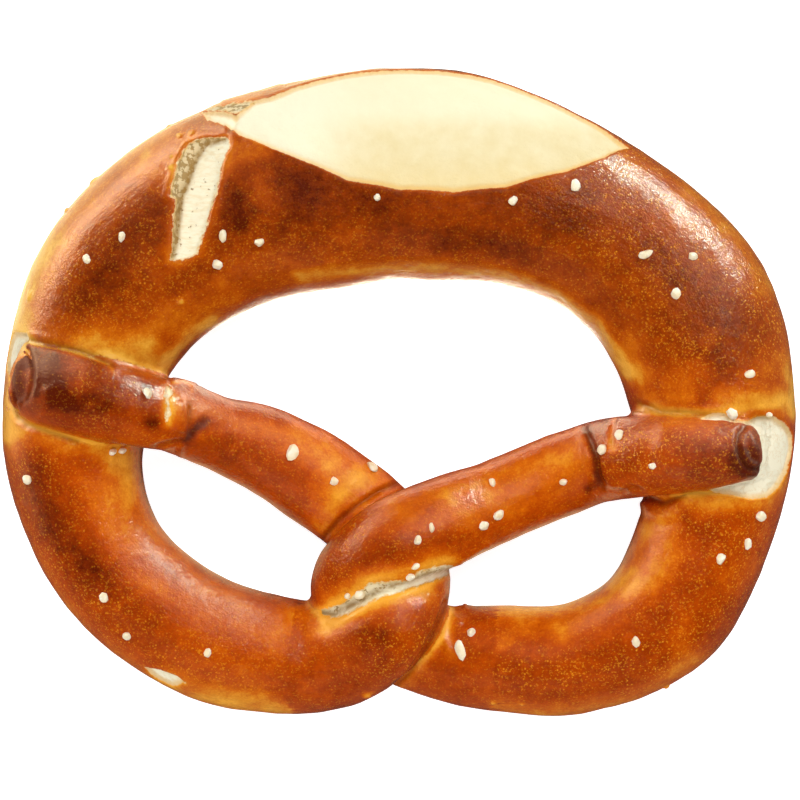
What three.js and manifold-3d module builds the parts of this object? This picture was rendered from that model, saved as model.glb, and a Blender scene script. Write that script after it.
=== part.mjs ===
// Soft pretzel: one rope of lye dough, thick in the belly and thin in the arms,
// crossed over itself in one full twist, baked brown and strewn with coarse salt.
// Millimetres, +Z up. The flat baked underside rests on Z = 0 and the origin is
// the middle of that underside.
import * as THREE from 'three';
import { mergeVertices } from 'three/addons/utils/BufferGeometryUtils.js';
import Module from 'manifold-3d';

const wasm = await Module();
wasm.setup();

// ---------------------------------------------------------------- dimensions
const SIT = 0.78;            // middle of a lying rope above the tray, as a share of its half height
const SLIM = 22;              // a rope up to this width stays round
const PLUMP = 0.93;          // baked height of a lying rope of that width over its width
const SPREAD = 0.0075;       // a thicker rope spreads: what each mm more takes off that share
const SHOULDERS = 0.05;      // and squares up: what each mm more adds to the section's power
const SIDES = 24;            // faces round the rope
const RING_STEP = 4.3;       // spacing of the sections along the thick ring
const ARM_STEP = 3.1;        // spacing of the sections along the arms and the twist
const TIP_LENGTH = 4.2;      // length of the rounded end of each arm
const TIP_SECTIONS = 4;      // sections in a rounded end
const LUMP = 0.006;          // unevenness of the rope, as a share of its radius
const CRUST = 0.9;           // thickness of the crust where it has peeled off the crumb
const EDGE_HIGH = 12;        // height of a strand's side, where a crack runs out over it
const GRAIN_HIGH = 1.5;      // height of a grain of salt
const GRAIN_SUNK = 0.35;     // share of a grain that is sunk in the crust
const SEED = 71;

// ------------------------------------------------------------------ the rope
// A knot is the middle of the rope with its width and height there.
function lifted(x, y, z, wide, high) {
  return { at: new THREE.Vector3(x, y, z), half: new THREE.Vector3(wide / 2, high / 2, 0) };
}

function lying(x, y, wide) {
  const plump = PLUMP - SPREAD * (wide - SLIM);
  const halfHigh = (plump * wide) / (1 + SIT);
  return lifted(x, y, SIT * halfHigh, wide, 2 * halfHigh);
}

// left tip, over the left side of the ring, under the right strand, then over it
const leftArm = [
  lifted(-73.6, 2.2, 21.8, 14.6, 13.6),
  lifted(-68.5, 0.6, 24.2, 16.6, 14.8),
  lifted(-60.8, -1.3, 25.4, 16.8, 15.2),
  lifted(-51.4, -4.0, 23.8, 15.0, 14.8),
  lifted(-45.4, -5.3, 19.4, 14.6, 14.2),
  lifted(-37.4, -8.3, 13.8, 15.0, 14.4),
  lifted(-27.7, -11.9, 10.0, 17.6, 15.2),
  lifted(-17.8, -17.4, 8.2, 19.0, 15.6),
  lifted(-8.8, -23.8, 7.2, 19.0, 14.4),
  lifted(-1.2, -31.2, 7.2, 18.0, 14.0),
  lifted(1.6, -39.6, 13.4, 17.4, 15.4),
  lifted(-2.6, -47.6, 19.2, 18.6, 15.6),
  lifted(-10.5, -53.0, 13.8, 20.8, 17.2),
];

// lower left loop, left side, belly, right side, lower right loop
const ring = [
  lying(-20.0, -54.0, 23.2),
  lying(-39.9, -49.8, 25.2),
  lying(-57.5, -36.5, 24.9),
  lying(-65.6, -17.1, 27.2),
  lying(-64.0, 4.0, 31.8),
  lying(-54.5, 22.6, 37.6),
  lying(-36.5, 35.8, 40.8),
  lying(-15.8, 41.5, 43.0),
  lying(5.0, 43.5, 43.4),
  lying(24.1, 40.1, 39.4),
  lying(43.1, 30.9, 35.4),
  lying(57.4, 17.1, 36.0),
  lying(63.4, -3.0, 33.4),
  lying(62.8, -24.6, 27.8),
  lying(53.4, -45.1, 25.8),
  lying(36.7, -54.0, 22.6),
  lying(20.0, -54.4, 21.8),
];

// under the left strand, then over it, over the right side of the ring, right tip
const rightArm = [
  lifted(7.4, -52.7, 8.8, 19.2, 16.2),
  lifted(-2.6, -49.0, 7.4, 18.0, 14.4),
  lifted(-8.6, -40.0, 13.6, 19.0, 15.6),
  lifted(-2.4, -32.0, 20.2, 18.8, 15.8),
  lifted(7.4, -27.0, 18.0, 18.6, 15.6),
  lifted(18.2, -23.0, 13.6, 17.0, 15.4),
  lifted(30.4, -17.9, 11.6, 16.8, 15.2),
  lifted(39.8, -14.5, 13.8, 16.8, 15.0),
  lifted(48.2, -13.2, 21.4, 16.6, 15.0),
  lifted(56.4, -12.8, 25.6, 15.8, 14.6),
  lifted(63.2, -12.4, 26.6, 14.2, 13.8),
  lifted(68.6, -12.2, 26.4, 12.4, 12.4),
];

const knots = [...leftArm, ...ring, ...rightArm];
const middle = new THREE.CatmullRomCurve3(knots.map((knot) => knot.at));
const halves = new THREE.CatmullRomCurve3(knots.map((knot) => knot.half));
const UP = new THREE.Vector3(0, 0, 1);

// where a knot lies along the curves, from 0 to 1
function along(index) {
  return index / (knots.length - 1);
}

// slow swelling of the dough, the same on the crust and on the crumb under it
function swelling(t, angle) {
  const turns = 2 * Math.PI * t;
  return 1 + LUMP * (
    Math.sin(31 * turns + 2 * angle) +
    Math.sin(17 * turns - angle + 1.3) +
    0.3 * Math.sin(53 * turns + 3 * angle + 0.4)
  );
}

// one section of the rope: its middle first, then its outline
function section(t, inset, shrink = 1, shift = 0) {
  const tangent = middle.getTangent(t).normalize();
  const side = tangent.clone().cross(UP).normalize();
  const rise = side.clone().cross(tangent).normalize();
  const centre = middle.getPoint(t).addScaledVector(tangent, shift);
  const half = halves.getPoint(t);
  const power = 2 + SHOULDERS * Math.min(Math.max(half.x - SLIM / 2, 0), 10);
  const rounded = (x) => Math.sign(x) * Math.abs(x) ** (2 / power);
  const points = [centre];
  for (let i = 0; i < SIDES; i += 1) {
    const angle = (2 * Math.PI * i) / SIDES;
    const swell = shrink * swelling(t, angle);
    const point = centre.clone();
    point.addScaledVector(side, (half.x * swell - inset) * rounded(Math.cos(angle)));
    point.addScaledVector(rise, (half.y * swell - inset) * rounded(Math.sin(angle)));
    points.push(point);
  }
  return points;
}

// the sections that round off an arm, from the widest one outwards
function roundedEnd(t, direction) {
  const sections = [];
  for (let i = 1; i <= TIP_SECTIONS; i += 1) {
    const turn = (Math.PI / 2) * (i / (TIP_SECTIONS + 0.35));
    const shift = direction * TIP_LENGTH * Math.sin(turn);
    sections.push(section(t, 0, Math.cos(turn) ** 0.7, shift));
  }
  return sections;
}

// closes a row of sections into a solid
function skin(sections) {
  const vertices = [];
  for (const points of sections) {
    for (const point of points) vertices.push(point.x, point.y, point.z);
  }
  const count = sections[0].length;
  const faces = [];
  const last = (sections.length - 1) * count;
  for (let i = 1; i < count; i += 1) {
    const next = (i % (count - 1)) + 1;
    faces.push(0, i, next);
    faces.push(last, last + next, last + i);
    for (let row = 0; row < last; row += count) {
      faces.push(row + i, row + count + i, row + next);
      faces.push(row + next, row + count + i, row + count + next);
    }
  }
  const geometry = new THREE.BufferGeometry();
  geometry.setAttribute('position', new THREE.Float32BufferAttribute(vertices, 3));
  geometry.setIndex(faces);
  return geometry;
}

// the sections between two knots, a given step apart
function sectionsBetween(first, final, step, inset = 0) {
  const start = along(first);
  const end = along(final);
  const points = middle.getPoints(400);
  let length = 0;
  for (let i = Math.round(400 * start) + 1; i <= Math.round(400 * end); i += 1) {
    length += points[i].distanceTo(points[i - 1]);
  }
  const count = Math.round(length / step);
  const sections = [];
  for (let i = 0; i <= count; i += 1) {
    sections.push(section(start + (end - start) * (i / count), inset));
  }
  return sections;
}

// -------------------------------------------------------- joining and cutting
function solidOf(geometry) {
  const bare = geometry.clone();
  bare.deleteAttribute('normal');
  bare.deleteAttribute('uv');
  const merged = mergeVertices(bare, 1e-5);
  const mesh = new wasm.Mesh({
    numProp: 3,
    vertProperties: new Float32Array(merged.attributes.position.array),
    triVerts: new Uint32Array(merged.index.array),
  });
  return new wasm.Manifold(mesh);
}

function geometryOf(solid) {
  const mesh = solid.getMesh();
  const geometry = new THREE.BufferGeometry();
  geometry.setAttribute('position', new THREE.BufferAttribute(mesh.vertProperties, 3));
  geometry.setIndex(new THREE.BufferAttribute(mesh.triVerts, 1));
  return geometry;
}

// finds where a place lies on a solid's upper face
function surfaceOf(solid) {
  const target = new THREE.Mesh(geometryOf(solid), new THREE.MeshBasicMaterial());
  target.geometry.computeBoundingSphere();
  const ray = new THREE.Raycaster();
  const down = new THREE.Vector3(0, 0, -1);
  return (x, y) => {
    ray.set(new THREE.Vector3(x, y, 100), down);
    return ray.intersectObject(target)[0];
  };
}

// a prism that stands on an outline laid over the crust, seen along its facing;
// a point that gives its height is on the side of the rope
function patch(outline, facing, surface) {
  const out = new THREE.Vector3(...facing).normalize();
  const across = new THREE.Vector3(0, 1, 0).cross(out).normalize();
  const upward = out.clone().cross(across);
  const laid = outline.map(([x, y, z]) => (z ? new THREE.Vector3(x, y, z) : surface(x, y).point));
  const loop = laid.map((p) => new THREE.Vector3(p.dot(across), p.dot(upward), 0));
  const smooth = new THREE.CatmullRomCurve3(loop, true).getPoints(3 * loop.length);
  const shape = new THREE.Shape(smooth.slice(0, -1).map((p) => new THREE.Vector2(p.x, p.y)));
  const heights = laid.map((p) => p.dot(out));
  const low = Math.min(...heights) - CRUST;
  const prism = new THREE.ExtrudeGeometry(shape, { depth: 30, bevelEnabled: false });
  prism.translate(0, 0, low);
  prism.applyMatrix4(new THREE.Matrix4().makeBasis(across, upward, out));
  return solidOf(prism);
}

// a V-shaped trench: each station gives its left and right lip as seen on the way
// along it, the share of the way across where it is deepest, and its depth there
function trench(stations, surface) {
  const sections = stations.map(([left, right, share, depth]) => {
    const a = surface(...left)?.point ?? new THREE.Vector3(...left, EDGE_HIGH);
    const b = surface(...right)?.point ?? new THREE.Vector3(...right, EDGE_HIGH);
    const floor = a.clone().lerp(b, share);
    floor.z -= depth;
    const sky = Math.max(a.z, b.z) + 6;
    const lid = a.clone().lerp(b, 0.5).setZ(sky);
    const overA = a.clone().setZ(sky);
    const overB = b.clone().setZ(sky);
    return [lid, overA, a.clone().setZ(a.z - 0.2), floor, b.clone().setZ(b.z - 0.2), overB];
  });
  return solidOf(skin(sections));
}

// ------------------------------------------------------------------ the crust
const ringStart = leftArm.length;
const ringEnd = ringStart + ring.length - 1;

const leftSections = sectionsBetween(0, ringStart, ARM_STEP);
const leftStrand = skin([...roundedEnd(0, -1).reverse(), ...leftSections]);
const rightSections = sectionsBetween(ringEnd, knots.length - 1, ARM_STEP);
const rightStrand = skin([...rightSections, ...roundedEnd(1, 1)]);
const ringCrust = solidOf(skin(sectionsBetween(ringStart, ringEnd, RING_STEP)));
const ringCrumb = solidOf(skin(sectionsBetween(ringStart, ringEnd, RING_STEP, CRUST)));

// the long pale cut that opens along the belly, its left end torn a little further
const scoreOutline = [
  [-32.4, 53.2], [-20.3, 45.7], [-10.1, 42.0], [0.0, 40.4], [10.1, 40.2], [20.3, 41.4],
  [32.4, 44.4], [44.8, 48.4], [32.4, 57.6, 20.0], [20.3, 62.0, 20.6], [10.1, 64.0, 21.4],
  [0.0, 64.6, 22.0], [-11.1, 63.6, 22.4], [-20.3, 61.2, 22.8], [-29.0, 57.6, 23.4],
  [-36.4, 55.0, 24.0],
];
// the crust peeled off beside the right tip, beside the left tip and low on the left loop
const rightPeel = [
  [68.0, -3.6], [73.5, -4.2], [77.8, -8.0], [78.4, -13.5], [76.2, -18.6], [71.8, -21.0],
  [66.6, -20.6], [64.0, -12.0],
];
const leftPeel = [
  [-75.6, 12.6], [-73.6, 10.6], [-76.0, 6.6], [-77.6, 2.6], [-79.2, 5.0], [-78.2, 9.8],
];
const lowPeel = [
  [-51.6, -56.0], [-47.2, -57.0], [-43.8, -58.6], [-45.6, -59.8], [-49.0, -58.6],
];

const onRing = surfaceOf(ringCrust);
const peeled = ringCrust
  .subtract(patch(scoreOutline, [0, 0.6, 0.8], onRing))
  .subtract(patch(rightPeel, [0.5, 0, 0.86], onRing))
  .subtract(patch(leftPeel, [-0.7, 0.1, 0.7], onRing))
  .subtract(patch(lowPeel, [-0.4, -0.6, 0.7], onRing))
  .add(ringCrumb);

const whole = peeled.add(solidOf(leftStrand)).add(solidOf(rightStrand));

// -------------------------------------------------------------- torn openings
// the deep slit across the upper left of the ring
const slit = [
  [[-45.6, 26.4], [-44.2, 26.0], 0.4, 1.2],
  [[-45.6, 29.8], [-40.6, 28.6], 0.18, 3.6],
  [[-45.4, 35.0], [-38.2, 34.6], 0.22, 4.6],
  [[-45.6, 41.0], [-36.6, 39.8], 0.3, 5.0],
  [[-44.0, 46.6], [-35.2, 44.4], 0.35, 4.6],
  [[-40.6, 50.2], [-34.2, 48.0], 0.4, 3.0],
  [[-36.2, 51.4], [-34.4, 50.8], 0.5, 0.8],
];
// the crack where the two strands of the twist have pulled apart
const twistCrack = [
  [[-16.0, -44.0], [-15.8, -45.0], 0.5, 1.0],
  [[-12.2, -43.2], [-12.8, -45.7], 0.5, 3.0],
  [[-9.6, -41.5], [-9.6, -44.6], 0.5, 3.6],
  [[-5.6, -38.8], [-5.4, -42.2], 0.5, 3.8],
  [[-1.2, -38.2], [-0.6, -40.8], 0.5, 3.6],
  [[3.4, -36.6], [4.0, -39.4], 0.5, 3.0],
  [[7.4, -35.2], [8.0, -37.8], 0.5, 2.4],
  [[9.8, -35.0], [10.0, -36.4], 0.5, 1.4],
];
// the short split where the left arm bends down off the ring
const bendSplit = [
  [[-46.9, -6.9], [-46.2, -6.9], 0.5, 0.8],
  [[-47.0, -4.4], [-45.3, -4.4], 0.5, 1.6],
  [[-47.1, -1.8], [-45.4, -1.6], 0.5, 1.5],
  [[-46.9, 0.1], [-45.9, 0.3], 0.5, 0.6],
];

let opened = whole;
for (const stations of [slit, twistCrack, bendSplit]) {
  opened = opened.subtract(trench(stations, surfaceOf(whole)));
}

// the tail of dough at each tip is pressed in a little
function dimple(x, y, z, wide, long, deep) {
  const ball = new THREE.IcosahedronGeometry(1, 2);
  ball.scale(wide / 2, long / 2, deep);
  ball.translate(x, y, z);
  return solidOf(ball);
}
opened = opened.subtract(dimple(70.2, -12.8, 32.6, 6.2, 6.6, 1.6));

// the tray: everything below it is flat, and scraps cut loose are dropped
const tray = new THREE.BoxGeometry(220, 220, 40);
tray.translate(0, 0, -20);
const pieces = opened.subtract(solidOf(tray)).decompose();
const baked = pieces.sort((a, b) => b.volume() - a.volume())[0];

// ------------------------------------------------------------------- the salt
// each grain: place on the pretzel, length, width and the turn of its length
const grains = [
  // belly and upper sides
  [-35.4, 30.9, 2.4, 1.6, 80], [-28.1, 29.6, 1.9, 1.8, 20], [-36.5, 25.2, 2.4, 2.0, 100],
  [-4.6, 38.6, 1.5, 1.3, 10], [22.5, 38.0, 1.9, 1.8, 60], [35.0, 41.0, 2.4, 2.0, 70],
  [49.2, 27.2, 2.8, 1.8, 20], [58.5, 26.8, 2.0, 1.6, 0], [55.1, 19.3, 2.4, 2.0, 85],
  [69.9, 3.3, 2.4, 1.6, 10], [-55.7, 30.7, 2.0, 1.4, 75], [-62.6, 26.4, 2.0, 1.5, 110],
  // lower sides and loops
  [-74.9, -17.8, 2.2, 1.8, 90], [-59.5, -41.4, 2.2, 1.8, 95], [-54.9, -49.3, 1.8, 1.6, 60],
  [-38.7, -52.8, 2.0, 1.4, 85], [14.4, -48.9, 1.8, 1.6, 30], [12.2, -52.3, 4.8, 1.8, 112],
  [47.4, -50.5, 2.1, 1.8, 80], [72.5, -25.2, 2.4, 2.0, 15], [69.9, -30.9, 2.4, 1.6, 100],
  [64.4, -33.7, 2.4, 1.8, 75],
  // arms
  [-50.6, -0.7, 2.2, 1.9, 120], [-57.9, -12.3, 1.8, 1.2, 20], [-56.1, -12.0, 1.6, 1.2, 0],
  [-21.7, -12.5, 3.4, 2.2, 70], [-13.4, -18.3, 1.8, 1.6, 45], [-5.8, -15.6, 2.4, 2.0, 130],
  [18.6, -18.5, 2.0, 1.2, 105], [33.0, -18.4, 1.6, 1.2, 0], [16.8, -27.2, 2.1, 2.0, 30],
  [19.8, -25.0, 2.3, 1.8, 25], [44.1, -9.0, 2.0, 1.8, 90], [40.7, -11.8, 2.2, 1.9, 60],
  [50.6, -15.0, 1.7, 1.3, 5], [66.4, -4.6, 2.6, 2.1, 115], [73.9, -4.8, 1.3, 0.9, 20],
  // twist and its crack
  [6.3, -27.6, 2.0, 1.1, 95], [3.5, -30.1, 2.0, 1.4, 80], [3.0, -35.2, 1.7, 1.1, 20],
  [2.2, -37.6, 1.9, 1.6, 40], [-8.1, -40.8, 2.4, 1.9, 15], [-10.4, -41.2, 1.1, 1.0, 0],
];

// a small repeatable draw between 0 and 1
let drawn = SEED;
function draw() {
  drawn = (drawn * 16807) % 2147483647;
  return drawn / 2147483647;
}

// a chipped grain: a twenty-sided lump, pulled about a little, lying on the crust
function grainOf([x, y, long, wide, turn], surface) {
  const lump = new THREE.IcosahedronGeometry(1, 0);
  lump.deleteAttribute('normal');
  lump.deleteAttribute('uv');
  const grain = mergeVertices(lump, 1e-4);
  const position = grain.attributes.position;
  for (let i = 0; i < position.count; i += 1) {
    const pull = 0.9 + 0.28 * draw();
    position.setXYZ(i, position.getX(i) * pull, position.getY(i) * pull, position.getZ(i) * pull);
  }
  grain.rotateX(2 * Math.PI * draw());
  grain.scale(long / 2, wide / 2, GRAIN_HIGH / 2);
  grain.rotateZ(THREE.MathUtils.degToRad(turn));
  const hit = surface(x, y);
  const tilt = new THREE.Quaternion().setFromUnitVectors(UP, hit.face.normal);
  grain.applyQuaternion(tilt);
  const sunk = GRAIN_HIGH * (0.5 - GRAIN_SUNK);
  const place = hit.point.clone().addScaledVector(hit.face.normal, sunk);
  grain.translate(place.x, place.y, place.z);
  return solidOf(grain);
}

const onCrust = surfaceOf(baked);
let salted = baked;
for (const grain of grains) {
  salted = salted.add(grainOf(grain, onCrust));
}

// ------------------------------------------------------------------- the part
const crust = new THREE.MeshStandardMaterial({ color: 0xa5530f, roughness: 0.38, metalness: 0 });
const pretzel = new THREE.Mesh(geometryOf(salted), crust);
pretzel.name = 'pretzel';

const group = new THREE.Group();
group.add(pretzel);

export default group;
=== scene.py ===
"""Soft pretzel: the looks of one Bavarian lye pretzel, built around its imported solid.

The dough rope follows the same knots as the solid. Its three strands are drawn as grids
wrapped round the rope, fused, carved with the pale score and the torn openings, and then
finished with one crust material that turns to crumb where the crust is open.
Knots, outlines and grains are in millimetres; meshes are in metres.
"""

import math

import bpy
import numpy as np
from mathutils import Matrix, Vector
from mathutils.bvhtree import BVHTree


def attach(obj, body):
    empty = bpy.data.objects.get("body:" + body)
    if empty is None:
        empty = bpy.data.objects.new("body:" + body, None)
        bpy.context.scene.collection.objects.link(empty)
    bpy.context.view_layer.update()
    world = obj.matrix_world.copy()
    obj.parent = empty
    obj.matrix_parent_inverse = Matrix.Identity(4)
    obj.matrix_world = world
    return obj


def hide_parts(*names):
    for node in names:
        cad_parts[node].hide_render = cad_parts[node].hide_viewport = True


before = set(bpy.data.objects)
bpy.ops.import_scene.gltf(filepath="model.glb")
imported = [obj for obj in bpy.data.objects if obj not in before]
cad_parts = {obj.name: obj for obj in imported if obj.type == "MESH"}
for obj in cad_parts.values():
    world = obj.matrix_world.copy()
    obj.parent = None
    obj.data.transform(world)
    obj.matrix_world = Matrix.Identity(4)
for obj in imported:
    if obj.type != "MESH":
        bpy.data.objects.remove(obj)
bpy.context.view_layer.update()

MM = 0.001

# ------------------------------------------------------------------------------ the rope
SIT = 0.78  # middle of a lying rope above the tray, as a share of its half height
SLIM = 22  # a rope up to this width stays round
PLUMP = 0.93  # baked height of a lying rope of that width over its width
SPREAD = 0.0075  # a thicker rope spreads: what each mm more takes off that share
SHOULDERS = 0.05  # and squares up: what each mm more adds to the section's power
LUMP = 0.006  # unevenness of the rope, as a share of its radius
TIP_LENGTH = 4.2  # rounded end of each arm
TIP_SECTIONS = 14
TIP_BLUNT = 0.7  # power that makes that end fuller than a ball
STEP = 1.0  # spacing of the sections along a strand
AROUND = 96  # faces round a strand
FIRST_VOXEL = 0.8  # grain of the first fusing
VOXEL = 0.4  # grain of the fused dough
BASE_ROUNDING = 0.9  # at the edge of the flat base
TRIANGLES = 190000  # of the finished pretzel


def lifted(x, y, z, wide, high):
    """A knot of the rope: its middle, half width and half height."""
    return (x, y, z), (wide / 2, high / 2)


def lying(x, y, wide):
    """A knot where the rope lies on the tray, as high as dough of that width bakes."""
    half_high = (PLUMP - SPREAD * (wide - SLIM)) * wide / (1 + SIT)
    return lifted(x, y, SIT * half_high, wide, 2 * half_high)


LEFT_ARM = [
    lifted(-73.6, 2.2, 21.8, 14.6, 13.6),
    lifted(-68.5, 0.6, 24.2, 16.6, 14.8),
    lifted(-60.8, -1.3, 25.4, 16.8, 15.2),
    lifted(-51.4, -4.0, 23.8, 15.0, 14.8),
    lifted(-45.4, -5.3, 19.4, 14.6, 14.2),
    lifted(-37.4, -8.3, 13.8, 15.0, 14.4),
    lifted(-27.7, -11.9, 10.0, 17.6, 15.2),
    lifted(-17.8, -17.4, 8.2, 19.0, 15.6),
    lifted(-8.8, -23.8, 7.2, 19.0, 14.4),
    lifted(-1.2, -31.2, 7.2, 18.0, 14.0),
    lifted(1.6, -39.6, 13.4, 17.4, 15.4),
    lifted(-2.6, -47.6, 19.2, 18.6, 15.6),
    lifted(-10.5, -53.0, 13.8, 20.8, 17.2),
]
RING = [
    lying(-20.0, -54.0, 23.2),
    lying(-39.9, -49.8, 25.2),
    lying(-57.5, -36.5, 24.9),
    lying(-65.6, -17.1, 27.2),
    lying(-64.0, 4.0, 31.8),
    lying(-54.5, 22.6, 37.6),
    lying(-36.5, 35.8, 40.8),
    lying(-15.8, 41.5, 43.0),
    lying(5.0, 43.5, 43.4),
    lying(24.1, 40.1, 39.4),
    lying(43.1, 30.9, 35.4),
    lying(57.4, 17.1, 36.0),
    lying(63.4, -3.0, 33.4),
    lying(62.8, -24.6, 27.8),
    lying(53.4, -45.1, 25.8),
    lying(36.7, -54.0, 22.6),
    lying(20.0, -54.4, 21.8),
]
RIGHT_ARM = [
    lifted(7.4, -52.7, 8.8, 19.2, 16.2),
    lifted(-2.6, -49.0, 7.4, 18.0, 14.4),
    lifted(-8.6, -40.0, 13.6, 19.0, 15.6),
    lifted(-2.4, -32.0, 20.2, 18.8, 15.8),
    lifted(7.4, -27.0, 18.0, 18.6, 15.6),
    lifted(18.2, -23.0, 13.6, 17.0, 15.4),
    lifted(30.4, -17.9, 11.6, 16.8, 15.2),
    lifted(39.8, -14.5, 13.8, 16.8, 15.0),
    lifted(48.2, -13.2, 21.4, 16.6, 15.0),
    lifted(56.4, -12.8, 25.6, 15.8, 14.6),
    lifted(63.2, -12.4, 26.6, 14.2, 13.8),
    lifted(68.6, -12.2, 26.4, 12.4, 12.4),
]
KNOTS = LEFT_ARM + RING + RIGHT_ARM
MIDDLES, HALVES = zip(*KNOTS)
RING_START = len(LEFT_ARM) / (len(KNOTS) - 1)
RING_END = (len(LEFT_ARM) + len(RING) - 1) / (len(KNOTS) - 1)


def through(points, t):
    """A centripetal Catmull-Rom curve through points, at t from 0 to 1."""
    points = np.array(points, float)
    points = np.vstack([2 * points[0] - points[1], points, 2 * points[-1] - points[-2]])
    place = np.clip(t, 0, 1) * (len(points) - 3)
    index = np.minimum(place.astype(int), len(points) - 4)
    weight = (place - index)[:, None]
    p0, p1, p2, p3 = (points[index + k] for k in range(4))
    d0, d1, d2 = (np.linalg.norm(b - a, axis=1)[:, None] ** 0.5 for a, b in ((p0, p1), (p1, p2), (p2, p3)))
    d1 = np.where(d1 < 1e-4, 1, d1)
    d0 = np.where(d0 < 1e-4, d1, d0)
    d2 = np.where(d2 < 1e-4, d1, d2)
    m1 = ((p1 - p0) / d0 - (p2 - p0) / (d0 + d1) + (p2 - p1) / d1) * d1
    m2 = ((p2 - p1) / d1 - (p3 - p1) / (d1 + d2) + (p3 - p2) / d2) * d1
    w2, w3 = weight**2, weight**3
    return (
        p1
        + m1 * weight
        + (3 * p2 - 3 * p1 - 2 * m1 - m2) * w2
        + (2 * p1 - 2 * p2 + m1 + m2) * w3
    )


def unit(v):
    return v / np.linalg.norm(v, axis=-1, keepdims=True)


class Strand:
    """A stretch of the rope from start to end, as a row of sections."""

    def __init__(self, start, end):
        fine = through(MIDDLES, np.linspace(start, end, 800))
        length = np.linalg.norm(np.diff(fine, axis=0), axis=1).sum()
        self.t = np.linspace(start, end, int(length / STEP) + 1)
        self.middle = through(MIDDLES, self.t)
        self.half = through(HALVES, self.t)
        small = 1e-4
        ahead = through(MIDDLES, np.minimum(self.t + small, 1))
        behind = through(MIDDLES, np.maximum(self.t - small, 0))
        self.tangent = unit(ahead - behind)
        self.side = unit(np.cross(self.tangent, (0.0, 0.0, 1.0)))
        self.rise = unit(np.cross(self.side, self.tangent))
        self.shrink = np.ones(len(self.t))
        self.length = np.interp(self.t, ROPE_T, ROPE_LENGTH)
        self.power = 2 + SHOULDERS * np.clip(self.half[:, 0] - SLIM / 2, 0, 10)

    def close(self, tip_at_start, tip_at_end):
        """Adds the sections that close each end, rounded at an arm's tip."""
        for at_start, tip in ((True, tip_at_start), (False, tip_at_end)):
            count = TIP_SECTIONS if tip else 1
            end = 0 if at_start else -1
            turns = math.pi / 2 * np.arange(1, count + 1) / count
            reach = TIP_LENGTH * np.sin(turns) if tip else np.zeros(1)
            shrink = np.maximum(np.cos(turns), 0) ** TIP_BLUNT
            if at_start:
                reach, shrink = -reach[::-1], shrink[::-1]
            length = self.length[end] + reach
            self.length = np.concatenate([length, self.length] if at_start else [self.length, length])
            middle = self.middle[end] + self.tangent[end] * reach[:, None]
            self.middle = np.concatenate([middle, self.middle] if at_start else [self.middle, middle])
            self.shrink = np.concatenate([shrink, self.shrink] if at_start else [self.shrink, shrink])
            for name in ("t", "half", "tangent", "side", "rise", "power"):
                row = getattr(self, name)
                more = np.repeat(row[end : end + 1 or None], count, 0)
                setattr(self, name, np.concatenate([more, row] if at_start else [row, more]))
        return self

    def surface(self, row, angle):
        """Points of the strand's skin at section numbers and angles round it."""
        turn = 2 * math.pi * self.t[row]
        swell = 1 + LUMP * (
            np.sin(31 * turn + 2 * angle)
            + np.sin(17 * turn - angle + 1.3)
            + 0.3 * np.sin(53 * turn + 3 * angle + 0.4)
        )
        share = 2 / self.power[row]
        c, s = np.cos(angle), np.sin(angle)
        wide = self.half[row, 0] * self.shrink[row] * swell * np.sign(c) * np.abs(c) ** share
        high = self.half[row, 1] * self.shrink[row] * swell * np.sign(s) * np.abs(s) ** share
        return self.middle[row] + self.side[row] * wide[:, None] + self.rise[row] * high[:, None]


def length_along():
    """The length of the rope up to each of many places along it."""
    t = np.linspace(0, 1, 4001)
    p = through(MIDDLES, t)
    return t, np.concatenate([[0], np.cumsum(np.linalg.norm(np.diff(p, axis=0), axis=1))])


ROPE_T, ROPE_LENGTH = length_along()
strands = {
    "left": Strand(0, RING_START),
    "ring": Strand(RING_START, RING_END),
    "right": Strand(RING_END, 1),
}

# ------------------------------------------------------------------- outlines of openings
# plan outlines on the crust; a point's third number, if any, is its height on the side
SCORE = [
    (-33.6, 52.5), (-31.5, 51.1), (-29.2, 50.2), (-25.3, 48.4), (-21.5, 46.9), (-16.2, 44.8),
    (-10.1, 41.9), (0.0, 40.0), (10.1, 39.6), (20.3, 40.8), (32.4, 44.1), (36.4, 45.6),
    (40.4, 46.9), (45.8, 48.9),
    (39.5, 54.2, 19.0), (32.4, 58.0, 19.5), (20.3, 62.4, 20.0), (10.1, 64.4, 20.6),
    (0.0, 65.0, 21.2), (-11.1, 63.8, 22.0), (-21.2, 60.4, 23.0), (-26.1, 58.6, 24.0),
    (-29.2, 57.6, 23.5), (-32.7, 55.6), (-37.5, 56.3), (-40.3, 56.0), (-38.5, 54.4),
]
RIGHT_PEEL = [
    (60.0, -4.7), (62.7, -3.6), (64.9, -3.7), (67.0, -5.0), (69.2, -5.2), (71.9, -4.3), (75.1, -4.4),
    (77.5, -6.0), (79.1, -8.6), (79.1, -11.3), (78.1, -15.7), (76.2, -18.9), (74.0, -20.5), (70.8, -20.9),
    (67.8, -20.2), (63.0, -19.4), (59.5, -16.0),
]
LEFT_PEEL = [
    (-78.0, 12.0), (-74.8, 12.5), (-74.6, 10.8), (-76.0, 9.6), (-77.0, 7.6), (-77.8, 5.2),
    (-78.4, 3.2), (-79.4, 4.6), (-79.6, 6.3), (-79.1, 9.0),
]
LOW_PEEL = [
    (-51.6, -56.0), (-48.4, -56.4), (-45.0, -57.6), (-43.4, -58.8), (-46.0, -59.8), (-49.6, -58.2),
]
SLIT = [
    (-39.6, 50.6), (-42.7, 49.4), (-44.3, 46.4), (-45.8, 40.7), (-46.1, 38.9), (-45.0, 38.1),
    (-45.4, 32.9), (-45.5, 29.3), (-46.0, 26.2), (-44.2, 25.8), (-42.7, 26.0), (-40.6, 27.5),
    (-38.9, 31.9), (-37.5, 36.8), (-36.3, 41.0), (-34.9, 46.9), (-33.8, 48.9), (-34.4, 50.6),
]
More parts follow.
